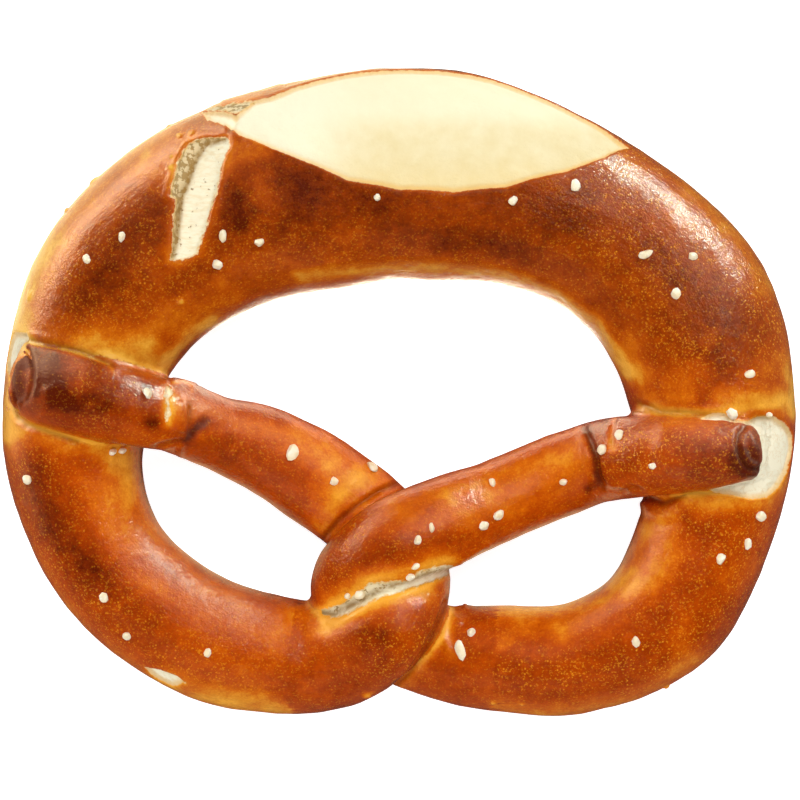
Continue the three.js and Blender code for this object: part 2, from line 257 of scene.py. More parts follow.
CRACK = [
    (-15.9, -44.2), (-12.2, -43.1), (-9.7, -41.6), (-6.0, -38.5), (-1.6, -38.2), (1.3, -38.0),
    (3.7, -36.3), (7.3, -35.3), (9.9, -35.0), (11.5, -35.4), (10.6, -37.0), (6.2, -38.5),
    (2.8, -39.6), (-0.4, -40.7), (-3.5, -41.4), (-7.1, -43.1), (-10.3, -44.9), (-13.0, -45.8),
    (-15.9, -45.2),
]
FLAP_EDGE = [
    (-39.2, 56.4), (-37.1, 57.2), (-34.8, 57.6), (-32.1, 58.0), (-28.6, 58.2), (-29.2, 57.5),
    (-31.3, 56.3), (-32.7, 55.4), (-35.2, 56.1), (-37.5, 56.2),
]
BEND_SPLIT = [
    (-46.9, 0.9), (-46.0, 1.0), (-45.6, -0.3), (-46.3, -1.9), (-45.9, -3.5), (-46.3, -5.6),
    (-46.6, -6.6), (-46.9, -6.0), (-46.7, -2.9), (-47.1, -0.9),
]
# deepest line of each torn opening, and how deep it is there; a negative depth stands up
SLIT_VALLEY = [
    (-45.6, 26.4), (-45.0, 29.0), (-44.6, 33.3), (-43.9, 38.4),
    (-42.7, 41.4), (-40.9, 46.5), (-38.9, 49.3), (-35.2, 50.2),
]
SLIT_DEPTH = [0.6, 2.2, 2.9, 3.2, 3.4, 3.0, 2.2, 0.7]
CRACK_VALLEY = [
    (-16.0, -44.8), (-13.2, -45.1), (-10.6, -43.6), (-7.9, -42.4), (-5.1, -40.6), (-2.9, -39.6),
    (-0.4, -38.7), (1.3, -38.3), (3.5, -37.4), (6.2, -36.5), (9.5, -35.9), (11.5, -36.0),
]
CRACK_DEPTH = [0.5, 0.9, 1.1, 1.0, 0.7, 0.2, -0.4, -0.8, -1.1, -1.2, -1.1, -0.6]
# crust that is gone from the ring, thin splits, and how deep each is
OPENED = [(SCORE, 0.75), (RIGHT_PEEL, 0.9), (LEFT_PEEL, 0.7), (LOW_PEEL, 0.7)]
SPLITS = [(BEND_SPLIT, 1.2), (FLAP_EDGE, 0.7)]
CUT_ABOVE = 7.5  # height over which the torn openings are cut
TORN_ABOVE = 6  # and over which they are coloured
DISC_PRESS = 0.8  # how far the flat end of the left arm is pressed in
FAR = -99  # distance that counts as well outside an outline

# creases pressed into the top: strand (or None for all), plan line, depth, half width;
# a negative depth raises a ridge
CREASES = [
    ("right", [(37.1, -7.6), (39.1, -12.8), (39.8, -17.4), (41.1, -19.6)], 0.75, 0.6),
    ("right", [(43.3, -5.2), (42.4, -8.5), (42.6, -11.6)], 0.3, 0.5),
    ("right", [(52.6, -5.5), (52.2, -10.5), (52.8, -16)], -0.3, 1.3),
    ("right", [(44.5, -20.2), (46.5, -19.4), (48.5, -19.6)], 0.4, 0.4),
    ("right", [(41.8, -19.2), (44.2, -19.0), (46.8, -20.2)], -0.3, 0.5),
    ("right", [(69.4, -6.9), (67.8, -8.3), (67.4, -10.6), (68.2, -13.6), (69.7, -15.7), (71.8, -16.0),
               (73.4, -14.4)], 0.8, 0.5),
    ("right", [(69.8, -8.2), (70.6, -10.4), (71.8, -12.6)], -0.4, 0.6),
    ("right", [(69.2, -10.6), (70.0, -13.2), (71.8, -14.4)], 0.35, 0.6),
    ("right", [(63.5, -7.6), (66.0, -8.8), (67.4, -7.9)], 0.2, 0.4),
    ("right", [(11.3, -34.5), (13.8, -33.4), (16.2, -31.8), (18.6, -31.0)], -0.35, 0.7),
    ("ring", [(47.9, -20.6), (49.8, -21.4), (52.9, -22.7), (55.3, -21.8), (57.2, -20.9)], 0.8, 0.6),
    ("ring", [(48.6, -22.2), (50.4, -24.4), (53.0, -25.4), (55.4, -24.8)], -0.5, 0.8),
    ("right", [(8.1, -47.6), (9.1, -50.4), (10.0, -52.9)], -0.5, 0.8),
    ("right", [(9.9, -46.2), (11.3, -46.6), (12.0, -48.0)], -0.6, 1.1),
    ("right", [(12.4, -43.4), (13.8, -43.2)], -0.6, 0.8),
    ("ring", [(-20.4, -43.2), (-17.4, -43.9), (-15.8, -45.0)], 0.7, 0.6),
    ("ring", [(-33.0, 55.8), (-33.4, 54.0), (-34.2, 51.8)], 0.5, 0.45),
    ("ring", [(-37.0, 58.0), (-33.0, 59.6), (-28.0, 61.4), (-23.0, 62.8)], -0.6, 2.0),
    ("ring", [(-24, 23.6), (-10, 26.4), (4, 27.0), (18, 25.8), (30, 22.2), (40, 15.0), (45.5, 6.0)],
     -0.35, 1.4),
    ("left", [(-42.3, -2.4), (-42.0, -6.0), (-42.4, -9.2)], 0.5, 0.5),
    ("left", [(-39.4, -5.6), (-41.0, -7.4), (-42.2, -9.8)], 0.5, 0.7),
    ("left", [(-46.6, 1.9), (-43.5, 1.6), (-40.5, 0.6)], -0.6, 1.0),
    ("left", [(-44.1, -1.6), (-43.9, -5.4), (-44.4, -8.8)], -0.8, 1.3),
    ("left", [(-49.5, -11.2), (-46.8, -10.6), (-44.0, -9.8)], 0.45, 0.45),
    ("left", [(-43.8, -10.2), (-44.2, -13.0)], -0.35, 0.6),
    ("left", [(-75.0, 8.8), (-73.9, 6.8), (-73.5, 4.0), (-73.7, 1.0), (-74.6, -1.8)], 0.6, 0.45),
    ("left", [(-76.8, 6.8), (-77.4, 3.6), (-76.8, 0.6)], -0.35, 0.9),
    ("left", [(-75.0, -1.4), (-76.2, -2.6), (-77.4, -2.4)], -0.4, 0.5),
    ("left", [(-71.6, -0.4), (-69.0, 0.6), (-66.5, 0.2)], -0.3, 0.9),
    (None, [(-75.1, 10.4), (-70.5, 9.2), (-67.0, 8.6), (-63.9, 7.8), (-61.2, 6.7), (-57.7, 5.2)], 0.6, 0.6),
    (None, [(-78.2, -1.5), (-76.8, -5.4), (-74.8, -7.0), (-71.3, -8.0), (-67.8, -9.1), (-64.8, -10.2)],
     0.6, 0.6),
    (None, [(9.5, -41.9), (8.7, -44.4), (6.5, -49.0), (4.5, -53.2), (1.6, -57.4), (-1.4, -60.2)], 0.6, 0.5),
    (None, [(-15.8, -30.3), (-12.6, -26.4), (-8.7, -23.2), (-4.2, -20.3), (0.3, -18.3)], 0.6, 0.5),
    (None, [(47.8, -2.2), (52.0, -4.2), (58.0, -4.4), (63.4, -5.2)], 0.5, 0.6),
    (None, [(57.0, -20.6), (62.0, -20.6), (67.0, -19.6), (71.0, -17.8)], 0.5, 0.5),
]
# strokes that brown the crust, or pale it where the change is negative: strand, plan line,
# half width, change. Some stand for light and shade instead: pale rims are painted reflections
# of the white table, pale patches on the lower-left crest and left of the big hole are painted
# highlights, and dark lines along creases and grooves are painted shade
BROWNING_AND_PAINTED_LIGHT = [
    ("right", [(8, -48), (4, -56), (0, -60)], 1.6, -0.30),
    # paler inner rims of the holes: painted reflection of the white table
    ("ring", [(-47.5, 4), (-44, 9), (-38, 14)], 1.6, -0.40),
    ("ring", [(-20, 22.4), (-10, 23.8), (4, 24.6), (18, 23.6), (30, 20.2), (40, 13), (45.5, 4)], 1.6, -0.45),
    ("ring", [(-54, -13), (-54, -22), (-48, -32), (-38, -40), (-28, -44), (-17, -45)], 1.6, -0.20),
    ("ring", [(14, -43.5), (30, -44), (42, -42), (48, -34), (49, -25)], 1.6, -0.22),
    ("left", [(-46, 1.5), (-34, -2.5), (-24, -6)], 1.6, 0.22),
    ("right", [(4, -19.5), (16, -16), (30, -11), (42, -6.5)], 1.6, 0.18),
    ("right", [(18, -21), (36, -14.5)], 2.5, -0.10),
    ("right", [(-8, -24), (2, -20)], 2.5, 0.10),
    # paler band near the lower-left crest: painted highlight; the darker band inward paints it out
    ("ring", [(-63, -18), (-58, -31), (-50, -39)], 2.6, -0.18),
    ("ring", [(-50, -34), (-40, -41), (-28, -45)], 3.0, 0.20),
    ("left", [(-77, 8), (-71.5, 8)], 2.6, 0.22),
    ("left", [(-51, -3), (-48, -7)], 2.4, 0.14),
    ("ring", [(74, 28), (79, 12), (79.5, 0)], 3.0, -0.18),
    ("ring", [(-79, -6), (-76, -28), (-68, -44)], 3.0, -0.18),
    # paler outermost west rim: painted reflection
    ("ring", [(-80, 4), (-80, -4), (-79, -10)], 2.0, -0.40),
    ("right", [(2, -26), (14, -25)], 3.0, -0.12),
    ("left", [(-14, -19), (-8, -23)], 3.0, -0.26),
    ("ring", [(14, -48), (30, -49), (44, -46)], 4.0, -0.07),
    ("ring", [(-34, 36), (-16, 36)], 8.0, 0.05),
    ("ring", [(56, -30), (54, -44)], 5.0, 0.08),
    # paler north-west outer rim: partly lighter crust, partly painted sheen
    ("ring", [(-77, 8), (-77, 20), (-72, 30)], 3.5, -0.3),
    ("ring", [(72, -2.6), (79, -5)], 1.6, -0.30),
    # paler patch on the ring left of the hole: painted sheen
    ("ring", [(-64, 9), (-56, 3)], 2.4, -0.16),
    ("left", [(-19, -45), (-16, -48)], 3.0, -0.22),
    ("left", [(-20, -12), (-14, -14)], 2.4, -0.14),
    ("left", [(-60, 4), (-52, 2)], 3.0, 0.12),
    # paler outer south rims: painted reflection of the white table
    ("ring", [(-72, -42), (-61, -53), (-46, -61.5), (-30, -65), (-10, -64)], 2.4, -0.40),
    ("ring", [(10, -64), (30, -66), (46, -63), (60, -54)], 2.2, -0.34),
    ("left", [(-36, -8), (-24, -13), (-12, -20)], 6.0, 0.09),
    ("ring", [(-10, 36), (0, 34)], 5.0, -0.06),
    ("ring", [(-62, 14), (-54, 28), (-38, 36)], 9.0, 0.07),
    ("ring", [(-40, 22), (-20, 30)], 7.0, 0.06),
    ("ring", [(38, 32), (52, 22), (60, 6)], 9.0, 0.11),
    ("right", [(46, -12), (66, -13)], 6.0, 0.10),
    ("right", [(10, -26), (24, -22), (36, -17)], 6.0, -0.10),
    ("left", [(-52, -4), (-60, -2)], 6.0, 0.08),
    (None, [(48.5, -3.4), (56, -4.0), (64, -4.2), (79, -2.5)], 1.1, -0.45),
    ("ring", [(79, -4), (79.6, 2)], 2.0, -0.40),
    ("ring", [(-26, 44), (-15, 41.5), (-5, 38.5)], 6.0, 0.13),
    ("ring", [(-22, 36), (0, 34), (30, 34)], 8.0, 0.14),
    ("ring", [(-5, 38.5), (10, 38), (22, 38.5)], 2.5, 0.03),
    ("ring", [(22, 39), (30, 39.5), (38, 40)], 6.0, 0.06),
    ("ring", [(-33, 40), (-32, 34)], 2.2, 0.20),
    ("ring", [(2, 31), (20, 28.5), (34, 25)], 2.6, 0.12),
    ("ring", [(-48, 35), (-54, 30), (-60, 23), (-64, 19)], 5.5, 0.18),
    ("ring", [(50, 26), (58, 22)], 3.2, 0.12),
    ("ring", [(62, 15), (68, 12), (66, 7)], 4.5, 0.14),
    ("ring", [(-74, -18), (-70, -28), (-62, -37)], 4.8, 0.24),
    ("ring", [(-58, -40), (-50, -47)], 3.0, 0.10),
    ("ring", [(15, -56), (35, -56), (50, -56)], 5.0, 0.05),
    ("left", [(-71.0, 6), (-68.5, 0)], 4.0, 0.50),
    ("left", [(-76.5, 7), (-76.5, -1)], 2.8, 0.44),
    ("left", [(-64, -2), (-60, -2)], 4.0, 0.20),
    # dark lines along the left tip's groove and the left arm's fold: painted shade
    ("left", [(-73.2, 7.4), (-72.4, 4.0), (-72.8, -0.6)], 0.8, 0.45),
    ("left", [(-39, -6.2), (-41, -7.4), (-43, -10)], 1.1, 0.50),
    ("left", [(-50.8, 0.9), (-50.2, 0.8)], 0.9, 0.35),
    ("left", [(-49.8, -6.6), (-49.0, -6.4)], 1.0, 0.30),
    ("left", [(-38, -11.6), (-30, -16), (-22, -22), (-17, -26.5)], 3.2, 0.03),
    ("left", [(-3, -50), (-8, -55), (-12, -60)], 4.6, 0.13),
    ("left", [(-8, -48.5), (-4, -48.5)], 1.6, 0.14),
    ("right", [(70, -15.5), (68, -13)], 2.6, 0.30),
    # dark line along the right tip's rim groove: painted shade
    ("right", [(68, -12), (69.0, -14.8), (70.6, -16.2), (72.6, -15.4)], 0.8, 0.45),
    ("right", [(70.5, -9), (71, -13)], 3.0, 0.20),
    ("right", [(60, -15), (66, -15)], 4.0, 0.12),
    # dark band beside the right arm's fold crease: painted shadow
    ("right", [(38, -8), (39.6, -13), (40.2, -18), (38, -20)], 1.2, 0.35),
    ("right", [(-6, -34), (4, -31), (12, -29)], 3.0, 0.12),
    ("ring", [(-70, 11), (-60, 12), (-50, 11), (-44, 15), (-36, 18)], 3.2, -0.22),
    ("ring", [(-58, 7), (-52, 7), (-49, 5)], 4.0, -0.45),
    ("ring", [(-78, -8), (-70, -10), (-62, -11.5), (-56, -13)], 2.6, -0.32),
    ("ring", [(-57, -16), (-56.5, -24), (-50, -34), (-40, -42.5), (-28, -47), (-16, -48)], 3.6, -0.30),
    ("ring", [(-40, -54), (-28, -56)], 6.5, -0.10),
    ("ring", [(-46, -58), (-36, -61.5), (-26, -63)], 2.0, -0.20),
    ("left", [(-44, -3.5), (-30, -6), (-18, -11), (-6, -18)], 4.2, -0.28),
    ("left", [(-10, -18), (-13, -23), (-16, -27)], 2.8, -0.35),
    ("left", [(-50, 2), (-54, 3), (-58, 4)], 2.0, -0.15),
    ("left", [(-48, -10), (-55, -9.5)], 2.0, -0.14),
    ("right", [(-2, -20.5), (10, -18.6), (22, -14.6), (36, -9)], 3.8, -0.30),
    ("right", [(-8, -27), (-3, -25)], 4.0, -0.08),
    ("right", [(43.3, -5.2), (42.4, -8.5), (42.6, -11.6)], 0.9, -0.40),
    ("right", [(51, -6), (51, -16)], 2.0, -0.14),
    ("right", [(54, -6.2), (62, -6.6)], 1.4, -0.25),
    ("right", [(22, -24), (30, -21)], 2.5, -0.10),
    ("ring", [(53, -27), (54, -32), (51, -38), (46, -40)], 4.2, -0.40),
    ("ring", [(58, -22.5), (66, -22.5), (74, -22), (77, -18)], 2.6, -0.40),
    ("ring", [(12, -44), (25, -45.5), (38, -43.5)], 3.0, -0.25),
    ("ring", [(56, -52), (57, -46)], 2.0, -0.18),
    ("ring", [(67, -38), (73, -28)], 3.0, -0.12),
    ("ring", [(46, 47), (58, 42), (68, 30), (73, 20)], 3.0, -0.20),
    ("ring", [(48, -1.6), (58, -1.4)], 1.8, -0.28),
    ("ring", [(64, -1.4), (70, -1.2), (77, -1.5)], 2.0, -0.40),
    ("ring", [(47, 3), (54, 2), (60, 4)], 2.4, -0.22),
    ("ring", [(70, 3), (77, 6)], 2.2, -0.20),
    ("ring", [(46, 9), (47.5, 2)], 2.2, -0.20),
    ("ring", [(64, 33), (58, 38)], 5.0, -0.12),
    ("ring", [(-29, 48), (-33.5, 46)], 2.2, -0.24),
    ("ring", [(-28, 42), (-27, 38)], 2.2, -0.16),
    ("ring", [(-47, 43), (-51, 44)], 3.2, -0.22),
    ("ring", [(-46.5, 29), (-45, 24.5)], 1.8, -0.12),
    ("ring", [(-34, 24), (-24, 26)], 3.2, -0.14),
    ("ring", [(-20, 31), (-8, 31)], 2.4, -0.08),
    ("right", [(10.5, -42), (9.0, -46), (7.8, -50)], 2.6, -0.42),
    ("right", [(9, -48), (11, -53)], 1.8, -0.12),
    ("ring", [(31.5, -48), (33, -48.5)], 1.8, -0.25),
    ("ring", [(19.5, -51), (21, -51)], 1.5, -0.22),
    ("ring", [(-34, 50), (-39, 54), (-42, 54)], 2.0, 0.04),
    # paler upper-left outer ring: partly lighter flaky crust, partly painted sheen
    ("ring", [(-48, 54), (-60, 46), (-70, 32), (-78, 12)], 5.0, -0.34),
    ("left", [(-15, -46.5), (-4, -42.6), (6, -40.2)], 2.2, -0.40),
    ("right", [(-14, -42.6), (-8, -38), (2, -35.5), (10, -33.6)], 1.8, -0.36),
    (None, [(-78.5, 2.4), (-77.8, -3.7), (-76.2, -6.3), (-72.5, -7.7), (-66.9, -9.1), (-61.3, -10.5)],
     0.28, -0.4),
    (None, [(54.6, -21.0), (60.0, -20.6), (64.0, -20.3), (67.8, -20.2)], 0.35, -0.5),
    (None, [(-73.7, 9.5), (-64.1, 7.5), (-58.4, 5.2), (-56.7, 3.0)], 0.3, -0.3),
    ("left", [(-45.5, 1.6), (-43.5, 2.0), (-42.0, 1.2), (-41.8, 0.0)], 0.5, -0.5),
    ("left", [(-46.4, 1.2), (-46.3, -6.8)], 0.8, -0.2),
]
# the flat end of the left arm, pressed in
LEFT_DISC = [
    (-74.9, 9.0), (-73.7, 7.0), (-73.2, 4.0), (-73.4, 1.0), (-74.3, -2.0), (-76.0, -3.6),
    (-77.8, -2.6), (-78.9, 0.6), (-79.0, 4.0), (-78.2, 7.2), (-76.6, 9.2),
]
# small loose flakes of crust: place in plan, radius and how far they stand up
FLAKES = [
    (-62.2, 43.2, 1.6, 0.45), (-60.9, 43.9, 0.9, 0.4), (-67.9, 37.0, 1.1, 0.45), (-75.2, 19.3, 1.5, 0.4),
    (-74.2, 21.0, 0.8, 0.3), (-44.6, 51.6, 1.2, 0.5), (-42.2, 52.0, 1.4, 0.45), (-46.0, 47.1, 0.8, 0.5),
    (-46.0, 44.8, 0.7, 0.45), (-45.4, 54.8, 0.8, 0.4), (-47.0, 54.2, 1.0, 0.4), (54.4, -60.4, 1.2, 0.5),
    (-43.8, 17.8, 0.9, 0.35), (18.6, -63.6, 0.9, 0.4), (24.6, -63.8, 0.7, 0.35), (-6.4, -62.0, 1.4, 0.4),
]
# where the crust is matt: strand, plan line, half width, share
MATT = [
    ("right", [(60, -11), (72, -12)], 7.0, 0.5),
    ("left", [(-77, 6), (-77, -2)], 4.2, 0.9),
    ("left", [(-75.2, 8.8), (-73.5, 4.0), (-74.6, -1.8)], 1.1, 1.0),
    ("left", [(-72, 6), (-66, 5)], 3.5, 0.5),
    ("ring", [(-52, -35), (-42, -42), (-26, -46.5)], 4.0, 0.4),
    ("left", [(-39.4, -5.6), (-41.0, -7.4), (-42.2, -9.8)], 1.6, 0.9),
    ("left", [(-38, -6), (-26, -12), (-14, -18)], 8.0, 0.3),
]
# where the flecks of the crust are thick: strand, plan line, half width, share more
FLECKED = [
    ("ring", [(44, 48), (60, 38), (70, 25), (76, 10)], 6.0, 0.9),
    ("ring", [(40, 34), (52, 26), (60, 10)], 7.0, 0.45),
    ("ring", [(60, -26), (70, -30), (66, -44), (52, -54)], 7.0, 0.35),
    ("ring", [(-34, 46), (-12, 40), (18, 37)], 6.0, -0.22),
    ("ring", [(16, -56), (36, -58), (50, -56)], 5.0, 0.35),
    ("ring", [(-76, -16), (-70, -34), (-56, -50), (-36, -58)], 6.0, 0.35),
    ("left", [(-66, 2), (-56, -2)], 6.0, 0.2),
    ("right", [(46, -12), (56, -12), (66, -13)], 6.0, 0.7),
    ("right", [(-12, -36), (-8, -30)], 5.0, 0.4),
    ("left", [(-4, -52), (2, -50)], 6.0, 0.5),
    ("ring", [(-60, 20), (-50, 30)], 8.0, 0.2),
]
RING_BROWN = 0.635  # browning of the ring where no stroke lies
ARM_PALER = 0.04  # and how much less the arms have
UNDER_BROWN = 0.5  # browning of the underside
PLAIN_FLECKS = 0.42  # flecks where no stroke lies
MOST_FLECKS = 1.2

# --------------------------------------------------------------------------- the salt
# each grain: place on the pretzel, length, width and the turn of its length
GRAINS = [
    (-35.4, 30.9, 2.4, 1.6, 80), (-28.1, 29.6, 1.9, 1.8, 20), (-36.5, 25.2, 2.4, 2.0, 100),
    (-4.6, 38.6, 1.5, 1.3, 10), (22.5, 38.0, 1.9, 1.8, 60), (35.0, 41.0, 2.4, 2.0, 70),
    (49.2, 27.2, 2.8, 1.8, 20), (58.5, 26.8, 2.0, 1.6, 0), (55.1, 19.3, 2.4, 2.0, 85),
    (69.9, 3.3, 2.4, 1.6, 10), (-55.7, 30.7, 2.0, 1.4, 75), (-62.6, 26.4, 2.0, 1.5, 110),
    (-74.9, -17.8, 2.2, 1.8, 90), (-59.5, -41.4, 2.2, 1.8, 95), (-54.9, -49.3, 1.8, 1.6, 60),
    (-38.7, -52.8, 2.0, 1.4, 85), (14.4, -48.9, 1.8, 1.6, 30), (12.2, -52.3, 4.8, 1.8, 112),
    (47.4, -50.5, 2.1, 1.8, 80), (72.5, -25.2, 2.4, 2.0, 15), (69.9, -30.9, 2.4, 1.6, 100),
    (64.4, -33.7, 2.4, 1.8, 75),
    (-50.6, -0.7, 2.2, 1.9, 120), (-57.9, -12.3, 1.8, 1.2, 20), (-56.1, -12.0, 1.6, 1.2, 0),
    (-21.7, -12.5, 3.4, 2.2, 70), (-13.4, -18.3, 1.8, 1.6, 45), (-5.8, -15.6, 2.4, 2.0, 130),
    (18.6, -18.5, 2.0, 1.2, 105), (33.0, -18.4, 1.6, 1.2, 0), (16.8, -27.2, 2.1, 2.0, 30),
    (19.8, -25.0, 2.3, 1.8, 25), (44.1, -9.0, 2.0, 1.8, 90), (40.7, -11.8, 2.2, 1.9, 60),
    (50.6, -15.0, 1.7, 1.3, 5), (66.4, -4.6, 2.6, 2.1, 115), (73.9, -4.8, 1.3, 0.9, 20),
    (6.3, -27.6, 2.0, 1.1, 95), (3.5, -30.1, 2.0, 1.4, 80), (3.0, -35.2, 1.7, 1.1, 20),
    (2.2, -37.6, 1.9, 1.6, 40), (-8.1, -40.8, 2.4, 1.9, 15), (-10.4, -41.2, 1.1, 1.0, 0),
]
GRAIN_HIGH = 1.5
GRAIN_SUNK = 0.3
GRAIN_SWELL = 1.16  # makes up for the corners that the facets take off
FACETS = 8  # planes that cut each grain
FACET_REACH = (0.6, 0.85)  # how near they pass to its middle
GRAIN_EDGE = 28  # degrees between facets from which their edge is sharp


# ------------------------------------------------------------------------ small helpers
def only(obj):
    """Makes obj the one selected and active object, in object mode."""
    if bpy.context.object and bpy.context.object.mode != "OBJECT":
        bpy.ops.object.mode_set(mode="OBJECT")
    bpy.ops.object.select_all(action="DESELECT")
    obj.select_set(True)
    bpy.context.view_layer.objects.active = obj


def points_of(obj, kind="co"):
    """Each point's place, or with kind normal its normal, as rows of numbers."""
    values = np.empty(len(obj.data.vertices) * 3, np.float32)
    obj.data.vertices.foreach_get(kind, values)
    return values.reshape(-1, 3).astype(float)


def move_points(obj, points):
    obj.data.vertices.foreach_set("co", points.astype(np.float32).ravel())
    obj.data.update()


def apply_modifier(obj, kind, **settings):
    only(obj)
    bpy.ops.object.modifier_add(type=kind)
    modifier = obj.modifiers[-1]
    for name, value in settings.items():
        setattr(modifier, name, value)
    bpy.ops.object.modifier_apply(modifier=modifier.name)


def join(pieces, name):
    """Joins meshes into one of that name."""
    bpy.ops.object.select_all(action="DESELECT")
    for piece in pieces:
        piece.select_set(True)
    bpy.context.view_layer.objects.active = pieces[0]
    bpy.ops.object.join()
    whole = bpy.context.object
    whole.name = name
    return whole


def step(low, high, x):
    """A smooth rise from 0 at low to 1 at high, or a fall where low is the larger."""
    x = np.clip((x - low) / (high - low), 0, 1)
    return x * x * (3 - 2 * x)


def bell(x, width):
    """1 where x is 0, falling to about a third a width away."""
    return np.exp(-((x / width) ** 2))


def inside_distance(points, outline):
    """Distance to a closed outline in its plane, positive inside it."""
    outline = np.array(outline, float)
    best = np.full(len(points), 1e9)
    inside = np.zeros(len(points), bool)
    for a, b in zip(outline, np.roll(outline, -1, 0)):
        edge = b - a
        share = np.clip((points - a) @ edge / (edge @ edge), 0, 1)
        best = np.minimum(best, np.linalg.norm(points - a - share[:, None] * edge, axis=1))
        crosses = (a[1] > points[:, 1]) != (b[1] > points[:, 1])
        at = a[0] + (points[:, 1] - a[1]) * edge[0] / (edge[1] if edge[1] else 1e-9)
        inside ^= crosses & (points[:, 0] < at)
    return np.where(inside, best, -best)


def line_distance(plan, line):
    """Distance to a line of points, and the place along it counted in its points."""
    line = np.array(line, float)
    gap, place = np.full(len(plan), 1e9), np.zeros(len(plan))
    for k in range(len(line) - 1):
        a, b = line[k], line[k + 1]
        share = np.clip((plan - a) @ (b - a) / ((b - a) @ (b - a)), 0, 1)
        d = np.linalg.norm(plan - a - share[:, None] * (b - a), axis=1)
        place = np.where(d < gap, k + share, place)
        gap = np.minimum(gap, d)
    return gap, place


def value_noise(points, size, seed):
    """Smooth random values from -1 to 1 whose features are about size across. Each corner
    of a cell gets its value by mixing the cell's numbers with large odd ones."""
    grid = points / size
    cell = np.floor(grid).astype(np.int64)
    part = grid - cell
    part = part * part * (3 - 2 * part)
    total = np.zeros(len(points))
    for dx in (0, 1):
        for dy in (0, 1):
            for dz in (0, 1):
                key = (cell[:, 0] + dx) * 73856093 ^ (cell[:, 1] + dy) * 19349663
                key = key ^ (cell[:, 2] + dz) * 83492791 ^ seed * 2654435761
                key = (key ^ (key >> 13)) * 1274126177 & 0x7FFFFFFF
                key = (key ^ (key >> 16)) & 0xFFFF
                weight = np.ones(len(points))
                for axis, d in enumerate((dx, dy, dz)):
                    weight = weight * (part[:, axis] if d else 1 - part[:, axis])
                total += weight * (key / 32767.5 - 1)
    return total


# ------------------------------------------------------------------- places on the rope
BLOCK = 20000  # points that are placed at a time
APART = 22  # length of rope between two places from which they can form a seam


class Places:
    """Where many points are on the rope: for each strand the length along the rope, the
    angle round it and the distance off its skin, and which strand is nearest."""

    def __init__(self, points):
        self.s, self.angle, self.off, self.radii = {}, {}, {}, {}
        for name, strand in strands.items():
            nearest = np.empty(len(points), int)
            for first in range(0, len(points), BLOCK):
                some = points[first : first + BLOCK]
                gap = (strand.middle**2).sum(1)[None, :] - 2 * some @ strand.middle.T
                nearest[first : first + BLOCK] = gap.argmin(1)
            away = points - strand.middle[nearest]
            along = (away * strand.tangent[nearest]).sum(1)
            wide = (away * strand.side[nearest]).sum(1)
            high = (away * strand.rise[nearest]).sum(1)
            half = strand.half[nearest]
            power = strand.power[nearest]
            ratio = np.abs(wide / half[:, 0]) ** power + np.abs(high / half[:, 1]) ** power
            ratio = ratio ** (1 / power)
            off = np.hypot(wide, high) * (1 - 1 / np.maximum(ratio, 1e-6))
            past = np.maximum(np.abs(along) - 0.8 * STEP, 0)
            self.off[name] = np.hypot(np.maximum(off, 0), past) + np.minimum(off, 0) * (past == 0)
            self.s[name] = strand.length[nearest] + along
            self.angle[name] = np.arctan2(wide / half[:, 0], high / half[:, 1])
            self.radii[name] = half.mean(1)
        self.on = np.stack([np.abs(off) for off in self.off.values()], 1).argmin(1)
        self.along = self.nearest_of(self.s)
        self.round = self.nearest_of(self.angle)
        self.radius = self.nearest_of(self.radii)
        self.unrolled = np.stack([self.s["ring"], self.angle["ring"] * self.radii["ring"]], 1)
        self.seam = np.full(len(points), 1e3)
        for k, name in enumerate(strands):
            other = (self.on != k) & (np.abs(self.s[name] - self.along) > APART)
            self.seam = np.where(other, np.minimum(self.seam, np.abs(self.off[name])), self.seam)

    def nearest_of(self, values):
        """Of values kept for each strand, those of each point's nearest strand."""
        return np.stack(list(values.values()), 1)[np.arange(len(self.on)), self.on]

    def on_strand(self, name):
        """Which points are nearest to a strand, or all of them for None."""
        return np.ones(len(self.on), bool) if name is None else self.on == list(strands).index(name)

    def opened(self, outline):
        """Distance inside an outline on the ring. It counts on the ring's own skin and in
        the fused valley beside an arm that lies on it."""
        ring_side = self.on_strand("ring") | (np.abs(self.off["ring"]) < 1.3)
        return np.where(ring_side, inside_distance(self.unrolled, on_ring(outline)), FAR)


def on_ring(outline):
    """An outline on the ring, unrolled: length along the rope and way round it in mm."""
    ring = strands["ring"]
    s = np.interp(ring.t, ROPE_T, ROPE_LENGTH)
    unrolled = []
    for point in outline:
        xy = np.array(point[:2])
        nearest = np.linalg.norm(ring.middle[:, :2] - xy, axis=1).argmin()
        away = xy - ring.middle[nearest, :2]
        wide = away @ ring.side[nearest, :2] / ring.half[nearest, 0]
        if len(point) == 3:
            high = (point[2] - ring.middle[nearest, 2]) / ring.half[nearest, 1]
        else:
            power = ring.power[nearest]
            high = max(0, 1 - abs(wide) ** power) ** (1 / power)
        angle = math.atan2(wide, high)
        unrolled.append((s[nearest] + away @ ring.tangent[nearest, :2], angle * ring.half[nearest].mean()))
    return unrolled


def flake_distance(points, x, y):
    """Distance to the place of a flake, which is the skin's highest point at x and y."""
    gap = np.hypot(points[:, 0] - x, points[:, 1] - y)
    near = max(0.8, gap.min() + 0.1)
    top = points[gap < near, 2].max()
    return np.hypot(gap, points[:, 2] - top)


